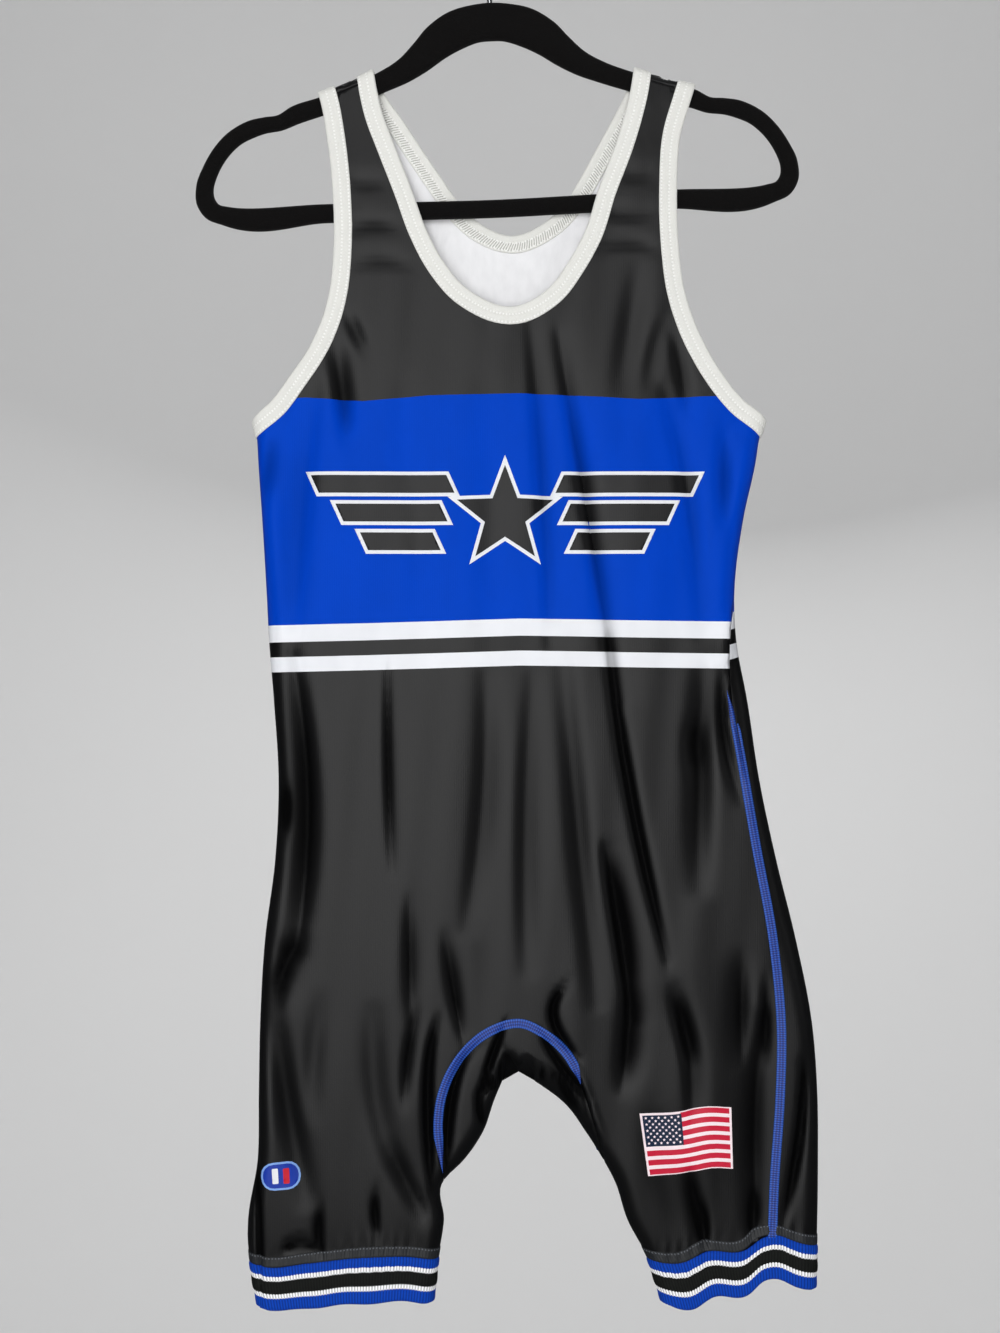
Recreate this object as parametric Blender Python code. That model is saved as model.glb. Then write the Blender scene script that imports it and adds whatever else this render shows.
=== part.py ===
"""A wrestling singlet hanging flat on a flocked hanger.

Sizes are in millimetres and become metres as each mesh is made. x runs to the
viewer's right and z up, and the garment's front faces -y. The origin is the
inside of the hook's crown, where the rail carries it. A "drop" is a distance
straight down from there. Left and right are the viewer's.
"""

import math
from collections import namedtuple

import bmesh
import bpy
import numpy as np
from mathutils import Vector
from mathutils.geometry import delaunay_2d_cdt

MM = 0.001

# Cloth, its bindings and the gap that neighbours keep
CLOTH_THICK = 1.0
BINDING_THICK = 1.0
BINDING_WIDTH = 13.0
CUFF_HEIGHT = 34.0
CUFF_THICK = 1.8
CUFF_PROUD = 0.6
RIB_PITCH = 2.8
RIB_HEIGHT = 0.35
GAP = 0.3
HEM_GAP = 0.5
BINDING_OVERHANG = GAP + BINDING_THICK
STRAP_SEAT = CLOTH_THICK + BINDING_OVERHANG + GAP

# Hanger
HANGER_TILT = math.radians(2.4)
HANGER_THICK = 6.0
HOOK_WIRE = 3.8
HOOK_INNER_RADIUS = 19.0
HOOK_SOCKET_DEPTH = 18.0

# How finely the sheet is cut into facets
EDGE_STEP = 17.0
FOLD_STEP = 24.0
GRID_ACROSS = 12.5
GRID_DOWN = 31.0
ROUND_INSETS = (0.08, 0.34, 0.75, 1.15)
TOP_INSETS = (1.6, 4.3, 8.0)
HEM_FACETS = 18

# Half of the garment's depth from front to back, down the garment
DepthRow = namedtuple("DepthRow", "drop half_depth")
DEPTHS = [
    DepthRow(110, 5.7),
    DepthRow(140, 5.8),
    DepthRow(215, 7.2),
    DepthRow(330, 9.0),
    DepthRow(440, 11.0),
    DepthRow(900, 11.5),
    DepthRow(985, 10.5),
    DepthRow(1030, 8.5),
]

# The drops at which the sides' and the cuffs' roundness is worked out
PIT_DROP = 440.0
HEM_DROP = 985.0

# The two sides, where the front turns into the back, from armhole to cuff
SideRow = namedtuple("SideRow", "drop left right")
SIDES = [
    SideRow(374, -171.5, 205.5),
    SideRow(386, -169, 201.5),
    SideRow(402, -168, 199),
    SideRow(446, -165, 189.5),
    SideRow(505, -161.5, 183),
    SideRow(534, -160, 184.5),
    SideRow(578, -156.5, 192.5),
    SideRow(637, -153, 201.5),
    SideRow(696, -155.5, 214),
    SideRow(755, -163, 228.5),
    SideRow(814, -166.5, 240),
    SideRow(866, -167.5, 244),
    SideRow(918, -168.5, 244.5),
    SideRow(962, -175.5, 244),
    SideRow(978, -175.5, 243.5),
    SideRow(990, -174, 243),
    SideRow(1030, -166, 240.5),
]

# The inner edges of the two legs, from the crotch down
LegRow = namedtuple("LegRow", "drop left right")
CROTCH = LegRow(852, 24, 24)
INNER_LEGS = [
    LegRow(859, 12, 36),
    LegRow(872, 6.5, 54),
    LegRow(898, -3, 74.5),
    LegRow(918, -17, 87),
    LegRow(932, -31, 94.5),
    LegRow(962, -31, 104.5),
    LegRow(988, -35, 118.5),
    LegRow(1030, -41, 133),
]

# Finished edges, outside of the bindings
EdgeRow = namedtuple("EdgeRow", "drop left right")
ARMHOLE_FRONT = [
    EdgeRow(140, -121, 149.5),
    EdgeRow(162, -117, 143),
    EdgeRow(201, -112.5, 140),
    EdgeRow(249, -111.5, 141.5),
    EdgeRow(276, -114, 145),
    EdgeRow(298, -119.5, 151.5),
    EdgeRow(322, -130.5, 162.5),
    EdgeRow(343, -145, 175.5),
    EdgeRow(359.5, -157, 189.5),
    EdgeRow(368.5, -166, 200),
]
ARMHOLE_BACK = [
    EdgeRow(140, -117, 146),
    EdgeRow(168, -106, 137),
    EdgeRow(205, -97, 128),
    EdgeRow(250, -94, 125),
    EdgeRow(280, -98, 129),
    EdgeRow(305, -107, 138),
    EdgeRow(328, -122, 152),
    EdgeRow(348, -142, 173),
    EdgeRow(362, -156, 188.5),
    EdgeRow(369.5, -166, 200),
]
NECK_FRONT = [
    EdgeRow(129, -80.5, 106.5),
    EdgeRow(148, -76, 102),
    EdgeRow(168, -68.5, 96),
    EdgeRow(204, -54.5, 82.5),
    EdgeRow(234, -43.5, 73),
    EdgeRow(258, -30.5, 60),
    EdgeRow(276, -15, 46.5),
]
NECK_FRONT_LOW = EdgeRow(290, 20, 20)
NECK_BACK = [
    EdgeRow(129, -76, 103.5),
    EdgeRow(150, -61.5, 93),
    EdgeRow(171, -47.5, 81.5),
    EdgeRow(192, -33, 70),
    EdgeRow(211, -19.5, 58),
    EdgeRow(225, -5, 43),
]
NECK_BACK_LOW = EdgeRow(234.5, 20, 20)
STRAP_OUTER = EdgeRow(126, -123.5, 154)
STRAP_NECK = EdgeRow(113, -83, 109)

# Where the hems meet the sides and the inner legs
HEM_ENDS = {"left": 990, "right": 978, "inner": 988}

# Hems of the legs, where the cuffs are sewn on: up and down along each leg
HemRow = namedtuple("HemRow", "x drop")
HEM_LEFT = [
    HemRow(-174, 990),
    HemRow(-158, 993),
    HemRow(-130, 990),
    HemRow(-84, 985),
    HemRow(-58, 985),
    HemRow(-35, 988),
]
HEM_RIGHT = [
    HemRow(118.5, 988),
    HemRow(143, 989),
    HemRow(163, 981),
    HemRow(190, 980),
    HemRow(203, 971),
    HemRow(213, 969),
    HemRow(228, 974),
    HemRow(243.5, 978),
]

# Seams between the panels
SeamRow = namedtuple("SeamRow", "x drop")
SIDE_SEAM_FRONT = [
    SeamRow(180, 522),
    SeamRow(178.5, 550),
    SeamRow(181.5, 590),
    SeamRow(186.5, 620),
    SeamRow(196.5, 680),
    SeamRow(210, 755),
    SeamRow(216, 820),
    SeamRow(215, 870),
    SeamRow(211, 930),
    SeamRow(209, 985),
]
SIDE_SEAM_CROSSING = 505
SIDE_SEAM_BACK_RIGHT = [SeamRow(191, 400), SeamRow(182, 440), SeamRow(176, 480)]
SIDE_SEAM_BACK_LEFT = [
    SeamRow(-158, 400),
    SeamRow(-152, 446),
    SeamRow(-148, 534),
    SeamRow(-142, 637),
    SeamRow(-150, 755),
    SeamRow(-155, 866),
    SeamRow(-158, 930),
    SeamRow(-158, 1000),
]
SEAM_STATION = 4.3
SHOULDER_SEAM_BELOW = 6.6
GUSSET_FRONT = [
    SeamRow(-33, 912),
    SeamRow(-35, 888),
    SeamRow(-31, 863),
    SeamRow(-16, 836),
    SeamRow(5, 819),
    SeamRow(25, 814),
    SeamRow(43, 822),
    SeamRow(61, 839),
    SeamRow(73, 870),
]
GUSSET_BACK = [
    SeamRow(-33, 908),
    SeamRow(-33, 880),
    SeamRow(-24, 850),
    SeamRow(-3, 826),
    SeamRow(22, 818),
    SeamRow(47, 826),
    SeamRow(66, 848),
    SeamRow(76, 876),
]
GUSSET_ENDS = (SeamRow(-31, 932), SeamRow(87, 918))
INSEAM_LEFT = [SeamRow(-26, 914), SeamRow(-41, 937), SeamRow(-42, 962), SeamRow(-46, 1000)]
INSEAM_RIGHT = [SeamRow(75, 890), SeamRow(96, 915), SeamRow(109, 948), SeamRow(128, 1000)]

# The largest folds: soft troughs, each down three points
FoldRow = namedtuple("FoldRow", "x1 drop1 x2 drop2 x3 drop3 width depth")
FOLDS_FRONT = [
    FoldRow(-138, 540, -130, 674, -155, 800, 10, 5.0),
    FoldRow(-133, 355, -139, 432, -148, 530, 12, 3.4),
    FoldRow(-71, 560, -71, 640, -66, 790, 9, 2.4),
    FoldRow(36, 345, 38, 410, 40, 490, 9, 2.2),
    FoldRow(69, 372, 80, 462, 95, 580, 10, 3.2),
    FoldRow(-1, 560, -1, 655, -10, 745, 9, 2.6),
    FoldRow(30, 560, 28, 640, 29, 775, 9, 2.4),
    FoldRow(92, 540, 110, 658, 134, 790, 9, 4.6),
    FoldRow(87, 680, 100, 775, 99, 880, 10, 4.6),
    FoldRow(161, 540, 158, 630, 157, 740, 10, 3.4),
    FoldRow(161, 410, 161, 460, 161, 520, 10, 2.8),
    FoldRow(-41, 805, -43, 868, -41, 945, 9, 4.0),
    FoldRow(-105, 870, -113, 905, -128, 950, 11, 3.2),
    FoldRow(-80, 880, -68, 925, -50, 968, 10, 3.0),
    FoldRow(200, 790, 200, 880, 200, 965, 10, 4.6),
    FoldRow(150, 820, 151, 865, 160, 950, 10, 2.8),
]
FOLDS_BACK = [
    FoldRow(-95, 400, -104, 520, -112, 660, 12, 3.2),
    FoldRow(-40, 300, -38, 420, -46, 560, 12, 2.6),
    FoldRow(20, 330, 24, 470, 18, 620, 11, 2.4),
    FoldRow(84, 310, 78, 430, 90, 560, 12, 2.8),
    FoldRow(140, 400, 136, 540, 150, 690, 12, 3.6),
    FoldRow(-62, 600, -70, 700, -60, 820, 11, 3.4),
    FoldRow(54, 590, 62, 700, 48, 800, 11, 3.0),
    FoldRow(112, 640, 122, 760, 118, 880, 11, 4.2),
    FoldRow(-120, 720, -126, 830, -112, 950, 11, 4.2),
    FoldRow(-66, 850, -74, 905, -62, 968, 11, 3.4),
    FoldRow(180, 740, 190, 850, 178, 960, 11, 4.4),
]

# Half of the hanger's loop, from the neck's top round the arm to the bar's middle
HangerRow = namedtuple("HangerRow", "out_x out_drop in_x in_drop")
HANGER = [
    HangerRow(0, 64.2, 0, 92.5),
    HangerRow(16, 65.8, 10, 93.2),
    HangerRow(30, 69.5, 21, 97),
    HangerRow(46.5, 80, 35, 104),
    HangerRow(57, 91.5, 48, 112.5),
    HangerRow(68, 102.5, 61, 119.5),
    HangerRow(84, 112, 79, 126.5),
    HangerRow(104, 120, 99.5, 133.5),
    HangerRow(129, 128.8, 125, 141.8),
    HangerRow(149, 134.5, 144.5, 147.5),
    HangerRow(160, 140.6, 157.5, 152),
    HangerRow(169, 141.5, 168.5, 153.5),
    HangerRow(182, 144, 179.5, 157),
    HangerRow(195.5, 151, 188.5, 161.5),
    HangerRow(207, 162, 198, 170.5),
    HangerRow(216, 176, 205, 181.5),
    HangerRow(222, 191, 209, 193),
    HangerRow(222, 204, 208.5, 200),
    HangerRow(216, 214, 205.5, 204.5),
    HangerRow(203, 220, 198.5, 206.5),
    HangerRow(126, 221.5, 127, 207.5),
    HangerRow(62, 222, 62, 208.7),
    HangerRow(0, 222.8, 0, 209.5),
]

# The rows of the hanger's table that a strap may lie over
ARM_UNDER_STRAP = slice(5, 11)

# Places outside the garment, which close the outline of each piece
LEFT_OF_ALL = -500.0
RIGHT_OF_ALL = 500.0
ABOVE_SIDES = 300.0
BELOW_ALL = 1200.0

FRONT = -1
BACK = 1
SIDE_ROUNDING = 1.1
ON_FOLD = 5e-3


def hermite(stops, values, at):
    """Cubic through a table's rows, read at the places `at`."""
    stops = np.asarray(stops, float)
    values = np.asarray(values, float)
    slopes = np.gradient(values, stops)
    at = np.clip(at, stops[0], stops[-1])
    row = np.clip(np.searchsorted(stops, at) - 1, 0, len(stops) - 2)
    span = stops[row + 1] - stops[row]
    t = (at - stops[row]) / span
    start = (2 * t**3 - 3 * t**2 + 1) * values[row] + (t**3 - 2 * t**2 + t) * span * slopes[row]
    end = (3 * t**2 - 2 * t**3) * values[row + 1] + (t**3 - t**2) * span * slopes[row + 1]
    return start + end


def half_depth(drops):
    return hermite([r.drop for r in DEPTHS], [r.half_depth for r in DEPTHS], drops)


def run_lengths(path):
    """Distance along a path to each of its points."""
    return np.concatenate([[0.0], np.cumsum(np.linalg.norm(np.diff(path, axis=0), axis=1))])


def smooth_path(points, step):
    """A smooth path through a few points, with a point about every `step`."""
    points = np.asarray(points, float)
    length = run_lengths(points)
    dense = np.linspace(0, length[-1], max(8, 12 * len(points)))
    fine = np.column_stack([hermite(length, points[:, k], dense) for k in range(2)])
    along = run_lengths(fine)
    count = max(2, int(round(along[-1] / step)) + 1)
    even = np.linspace(0, along[-1], count)
    return np.column_stack([np.interp(even, along, fine[:, k]) for k in range(2)])


def rows_path(rows, column):
    return [(getattr(row, column), row.drop) for row in rows]


def nearest_on_paths(points, paths):
    """Distance from each point to the nearest path, and the direction away from it into the cloth.

    Each path runs with the cloth on the right of its direction as seen in (x, drop).
    """
    starts = np.concatenate([path[:-1] for path in paths])
    ends = np.concatenate([path[1:] for path in paths])
    span = ends - starts
    length = np.linalg.norm(span, axis=1)
    inward = np.column_stack([-span[:, 1], span[:, 0]]) / length[:, None]
    best = np.full(len(points), np.inf)
    away = np.zeros((len(points), 2))
    for a, s, n, size in zip(starts, span, inward, length):
        t = np.clip(((points - a) @ s) / size**2, 0, 1)
        apart = points - (a + t[:, None] * s)
        distance = np.linalg.norm(apart, axis=1)
        closer = distance < best - 1e-9
        direction = np.where(distance[:, None] > 0.02, apart / np.maximum(distance, 1e-9)[:, None], n)
        best[closer] = distance[closer]
        away[closer] = direction[closer]
    return best, away


def inside(points, loop):
    """Which points lie inside a closed loop."""
    result = np.zeros(len(points), bool)
    x, y = points[:, 0], points[:, 1]
    for (x1, y1), (x2, y2) in zip(loop, np.roll(loop, -1, axis=0)):
        crosses = (y1 > y) != (y2 > y)
        if y1 != y2:
            result ^= crosses & (x < (x2 - x1) * (y - y1) / (y2 - y1) + x1)
    return result


def tilt(x, drop):
    """A point of the hanger, drawn level, as it hangs: its right side is a little high."""
    c, s = math.cos(HANGER_TILT), math.sin(HANGER_TILT)
    return x * c + drop * s, drop * c - x * s


def offset_path(path, distance):
    """The path moved sideways, to the right of its direction as seen in (x, drop)."""
    run = np.gradient(path, axis=0)
    run /= np.linalg.norm(run, axis=1)[:, None]
    return path + distance * np.column_stack([-run[:, 1], run[:, 0]])


def strap_top(side):
    """The line over which a strap turns, resting on the hanger's arm."""
    sign = -1 if side == "left" else 1
    arm = np.array([tilt(sign * row.out_x, row.out_drop) for row in HANGER[ARM_UNDER_STRAP]])
    arm = arm[np.argsort(arm[:, 0])]
    return offset_path(arm, -STRAP_SEAT)


def along_line(line, x):
    return np.array([x, np.interp(x, line[:, 0], line[:, 1])])


def unit(vector):
    return vector / np.linalg.norm(vector)


def edge_stops(length, pin):
    """Where an edge's points go: close together where it turns over a fold, with a pair at a seam."""
    close = np.array([0, 0.5, 1.9, 4.3, 7.5, 13])
    middle = np.linspace(close[-1], length - close[-1], int((length - 2 * close[-1]) / EDGE_STEP) + 1)
    stops = np.concatenate([close[:-1], middle, length - close[:-1][::-1]])
    if pin:
        stops = stops[np.abs(stops - (length - SEAM_STATION)) > 0.2]
        pair = length - SEAM_STATION + np.array([-GAP / 2, GAP / 2])
        stops = np.sort(np.concatenate([stops, pair]))
    return stops


def bound_edge(points, first_way, last_way, at_corner, pin=False):
    """A cut edge through `points`, and the line where its binding ends.

    The ways are the directions into the cloth at its two ends, each along a fold.
    """
    fine = smooth_path(points, 1.0)
    along = run_lengths(fine)
    stops = edge_stops(along[-1], pin)
    edge = np.column_stack([np.interp(stops, along, fine[:, k]) for k in range(2)])
    across = offset_path(edge, 1.0) - edge
    if across[0] @ first_way < 0:
        across = -across
    near_first = np.clip(1 - stops / 30, 0, 1)[:, None]
    near_last = np.clip(1 - (along[-1] - stops) / 22, 0, 1)[:, None]
    across = across * (1 - near_first) + first_way * near_first
    across = across * (1 - near_last) + last_way * near_last
    across /= np.linalg.norm(across, axis=1)[:, None]
    cut = BINDING_OVERHANG * (1 - near_last) if at_corner else BINDING_OVERHANG
    edge = edge + across * cut
    return edge, edge + across * (BINDING_WIDTH - BINDING_OVERHANG)


def pinned(path, point, apart):
    """The path with two points `apart` to either side of its place nearest to `point`, and those two."""
    along = run_lengths(path)
    dense = np.linspace(0, along[-1], 6000)
    fine = np.column_stack([np.interp(dense, along, path[:, k]) for k in range(2)])
    here = dense[np.argmin(np.linalg.norm(fine - np.array(point), axis=1))]
    stops = np.array([here - apart, here + apart])
    kept = along[(np.abs(along - here) > 3 * apart + 1) | (along == 0) | (along == along[-1])]
    every = np.sort(np.concatenate([kept, stops]))
    path = np.column_stack([np.interp(every, along, path[:, k]) for k in range(2)])
    first = int(np.searchsorted(every, stops[0] - 1e-6))
    return path, path[first], path[first + 1]


def side_line(column, top, bottom):
    """A side's fold line between two drops."""
    drops = np.linspace(top, bottom, max(2, int((bottom - top) / FOLD_STEP) + 1))
    return np.column_stack([hermite([r.drop for r in SIDES], [getattr(r, column) for r in SIDES], drops), drops])


def inner_line(column, bottom):
    """A leg's inner fold line, from under the crotch down."""
    rows = INNER_LEGS
    drops = np.linspace(rows[0].drop, bottom, max(2, int((bottom - rows[0].drop) / (0.6 * FOLD_STEP))))
    return np.column_stack([hermite([r.drop for r in rows], [getattr(r, column) for r in rows], drops), drops])


def seam_pair(points, start, end):
    """The two cut edges of a seam, half a gap either side of its line: (its left, its right)."""
    middle = [tuple(p) for p in points]
    if start is not None:
        middle.insert(0, np.mean(start, axis=0))
    if end is not None:
        middle.append(np.mean(end, axis=0))
    path = smooth_path(middle, EDGE_STEP)
    edges = []
    for pick, way in ((0, -1), (1, 1)):
        edge = offset_path(path, way * GAP / 2)
        if start is not None:
            edge[0] = start[pick]
        if end is not None:
            edge[-1] = end[pick]
        edges.append(edge)
    return edges


def across_leg(width, rounding, count):
    """Places across a flattened leg, evenly spaced along the cloth as it turns over both folds."""
    quarter = rounding * math.pi / 2
    total = width - 2 * rounding + 2 * quarter
    along = np.linspace(0, total, count + 1)
    near = np.minimum(along, total - along)
    x = np.where(near < quarter, rounding * (1 - np.cos(near / rounding)), near - quarter + rounding)
    return np.where(along > total / 2, width - x, x) / width


class Pattern:
    """Every line of the cut, in (x, drop): folds, finished edges, seams and hems."""

    def __init__(self):
        self.fold = {}
        self.below = {}
        for side in ("left", "right"):
            self.fold[side] = side_line(side, SIDES[0].drop, HEM_ENDS[side])
            self.below[side] = side_line(side, HEM_ENDS[side], SIDES[-1].drop)
        inner = {side: inner_line(side, HEM_ENDS["inner"]) for side in ("left", "right")}
        inner_low = {}
        for side in ("left", "right"):
            drops = np.array([HEM_ENDS["inner"], (HEM_ENDS["inner"] + INNER_LEGS[-1].drop) / 2, INNER_LEGS[-1].drop])
            x = hermite([r.drop for r in INNER_LEGS], [getattr(r, side) for r in INNER_LEGS], drops)
            inner_low[side] = np.column_stack([x, drops])
        self.inner_below = inner_low
        crotch = np.concatenate([inner["right"][::-1], [(CROTCH.left, CROTCH.drop)], inner["left"]])
        crotch, *gusset_right = pinned(crotch, GUSSET_ENDS[1], 1.2)
        self.crotch, *gusset_left = pinned(crotch, GUSSET_ENDS[0], 0.4)
        crossing = (hermite([r.drop for r in SIDES], [r.right for r in SIDES], SIDE_SEAM_CROSSING), SIDE_SEAM_CROSSING)
        self.fold["right"], *crossed = pinned(self.fold["right"], crossing, 1.0)
        self.top_line = {side: strap_top(side) for side in ("left", "right")}
        self.edges = {}
        self.binding_ends = {}
        tops, ways = {}, {}
        for side, turn in (("left", 1), ("right", -1)):
            for name, edge_x, way in (("armhole", getattr(STRAP_OUTER, side), turn),
                                      ("neck", getattr(STRAP_NECK, side), -turn)):
                line = self.top_line[side]
                tops[name, side] = along_line(line, edge_x)
                ways[name, side] = unit(along_line(line, edge_x + way * BINDING_WIDTH) - tops[name, side])
        for layer, armhole, neck, low in ((FRONT, ARMHOLE_FRONT, NECK_FRONT, NECK_FRONT_LOW),
                                          (BACK, ARMHOLE_BACK, NECK_BACK, NECK_BACK_LOW)):
            for side in ("left", "right"):
                corner = self.fold[side][0]
                down = unit(self.fold[side][1] - corner)
                points = [tops["armhole", side]] + rows_path(armhole, side) + [corner]
                self.edges["armhole_" + side, layer] = bound_edge(
                    points, ways["armhole", side], down, True, layer == BACK)
            points = [tops["neck", "left"]] + rows_path(neck, "left") + [(low.left, low.drop)]
            points += rows_path(neck[::-1], "right") + [tops["neck", "right"]]
            self.edges["neck", layer] = bound_edge(points, ways["neck", "left"], ways["neck", "right"], False)
            for name, row, side in (("armhole_left", 0, "left"), ("armhole_right", 0, "right"),
                                    ("neck", 0, "left"), ("neck", -1, "right")):
                for path in self.edges[name, layer]:
                    path[row] = along_line(self.top_line[side], path[row][0])
        for side in ("left", "right"):
            self.binding_ends[side] = self.edges["armhole_" + side, FRONT][1][-1]
            fold = self.fold[side]
            keep = np.linalg.norm(fold - fold[0], axis=1) > 1.3 * BINDING_WIDTH
            self.fold[side] = np.concatenate([fold[:1], [self.binding_ends[side]], fold[keep]])
            for layer in (FRONT, BACK):
                self.edges["armhole_" + side, layer][1][-1] = self.binding_ends[side]
        self.hem = {side: self.hem_line(side) for side in ("left", "right")}
        at_seam = {}
        for side in ("left", "right"):
            edge = self.edges["armhole_" + side, BACK][0]
            along = run_lengths(edge)
            pair = int(np.argmin(np.diff(along)))
            at_seam[side] = (edge[pair], edge[pair + 1])
        left_back = seam_pair(SIDE_SEAM_BACK_LEFT, at_seam["left"], None)
        right_back = seam_pair(SIDE_SEAM_BACK_RIGHT, at_seam["right"][::-1], crossed)
        right_front = seam_pair(SIDE_SEAM_FRONT, crossed[::-1], None)
        gusset_front = seam_pair(GUSSET_FRONT, gusset_left[::-1], gusset_right)
        gusset_back = seam_pair(GUSSET_BACK, gusset_left[::-1], gusset_right)
        self.seams = {
            FRONT: {"side": right_front, "gusset": gusset_front},
            BACK: {"left": left_back, "right": right_back, "gusset": gusset_back},
        }
        for side, rows in (("left", INSEAM_LEFT), ("right", INSEAM_RIGHT)):
            self.seams[BACK]["inseam_" + side] = seam_pair(rows, None, None)
        for side in ("left", "right"):
            outer, neck = tops["armhole", side], tops["neck", side]
            apart = 4 * ways["armhole", side]
            line = np.array([outer - apart, outer + 4 * apart, neck - apart, neck + apart])
            if side == "right":
                line = line[::-1]
            self.seams[FRONT]["shoulder_" + side] = [
                offset_path(line, SHOULDER_SEAM_BELOW + way * GAP / 2) for way in (-1, 1)]
        beyond = np.array([72.0, 120.0])
        corner_left, corner_right = self.fold["left"][0], self.fold["right"][0]
        self.side_folds = [
            self.fold["left"][::-1],
            self.below["left"][::-1],
            np.array([corner_left, corner_left - beyond]),
            np.array([corner_right + beyond * (1, -1), corner_right]),
            self.fold["right"],
            self.below["right"],
            self.crotch,
            self.inner_below["right"][::-1],
            self.inner_below["left"],
        ]
        self.top_folds = [self.top_line["left"], self.top_line["right"]]

    def hem_line(self, side):
        """A leg's hem from its outer side to its inner edge."""
        rows = HEM_LEFT if side == "left" else HEM_RIGHT
        outer = self.fold[side][-1]
        inner = self.crotch[-1] if side == "left" else self.crotch[0]
        width = inner[0] - outer[0]
        xs = outer[0] + width * across_leg(abs(width), SIDE_ROUNDING * half_depth(HEM_DROP), HEM_FACETS)
        line = np.column_stack([xs, hermite([r.x for r in rows], [r.drop for r in rows], xs)])
        line[0] = outer
        line[-1] = inner
        return line

    def between_bindings(self, side):
        """Two places on a strap's top line, evenly between its two bindings, from the armhole's."""
        armhole = self.edges["armhole_" + side, FRONT][1][0]
        neck = self.edges["neck", FRONT][1][0 if side == "left" else -1]
        return np.array([along_line(self.top_line[side], armhole[0] + share * (neck[0] - armhole[0]))
                         for share in (1 / 3, 2 / 3)])

    def loop(self, layer):
        """The outline of one layer."""
        armhole = {side: self.edges["armhole_" + side, layer] for side in ("left", "right")}
        neck, neck_end = self.edges["neck", layer]
        return np.concatenate([
            armhole["left"][0][:1], armhole["left"][1][:1], self.between_bindings("left"), neck_end[:1], neck,
            neck_end[-1:], self.between_bindings("right")[::-1], armhole["right"][1][:1], armhole["right"][0],
            self.fold["right"][1:], self.hem["right"][1:-1], self.crotch,
            self.hem["left"][::-1][1:-1], self.fold["left"][::-1], armhole["left"][0][::-1][1:-1],
        ])


PATTERN = Pattern()


def fold_trough(x, drop, rows):
    """How far the folds push the cloth in at each place."""
    total = np.zeros(len(x))
    for row in rows:
        middle = hermite((row.drop1, row.drop2, row.drop3), (row.x1, row.x2, row.x3), drop)
        along = np.clip((drop - row.drop1) / (row.drop3 - row.drop1), 0, 1)
        total += row.depth * np.sin(math.pi * along) ** 0.8 * np.exp(-(((x - middle) / row.width) ** 2))
    return total


def surface(flat, side):
    """The outer face of one layer's cloth at points (x, drop), and its outward normals."""
    flat = np.asarray(flat, float)
    x, drop = flat.T
    half = half_depth(drop)
    side_inset, side_in = nearest_on_paths(flat, PATTERN.side_folds)
    top_inset, top_in = nearest_on_paths(flat, PATTERN.top_folds)
    side_inset = np.where(side_inset < ON_FOLD, 0, side_inset)
    top_inset = np.where(top_inset < ON_FOLD, 0, top_inset)
    side_left = np.clip(1 - side_inset / (SIDE_ROUNDING * half), 0, 1)
    top_left = np.clip(1 - top_inset / half, 0, 1)
    rounding = np.sqrt((1 - side_left**2) * (1 - top_left**2))
    rows = FOLDS_FRONT if side == FRONT else FOLDS_BACK
    step = 0.5
    calm = np.clip(side_inset / (2.2 * half), 0, 1) ** 2 * np.clip(top_inset / 20, 0, 1)
    trough = fold_trough(x, drop, rows) * calm
    by_x = calm * (fold_trough(x + step, drop, rows) - fold_trough(x - step, drop, rows)) / (2 * step)
    by_drop = calm * (fold_trough(x, drop + step, rows) - fold_trough(x, drop - step, rows)) / (2 * step)
    slope = (side_left * (1 - top_left**2) / (SIDE_ROUNDING * half))[:, None] * -side_in
    slope += (top_left * (1 - side_left**2) / half)[:, None] * -top_in
    outward = rounding / half
    points = np.column_stack([x, side * (half * rounding - trough), -drop])
    normals = np.column_stack([
        slope[:, 0] + outward * by_x,
        side * outward,
        -(slope[:, 1] + outward * by_drop),
    ])
    return points, normals / np.linalg.norm(normals, axis=1)[:, None]


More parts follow.
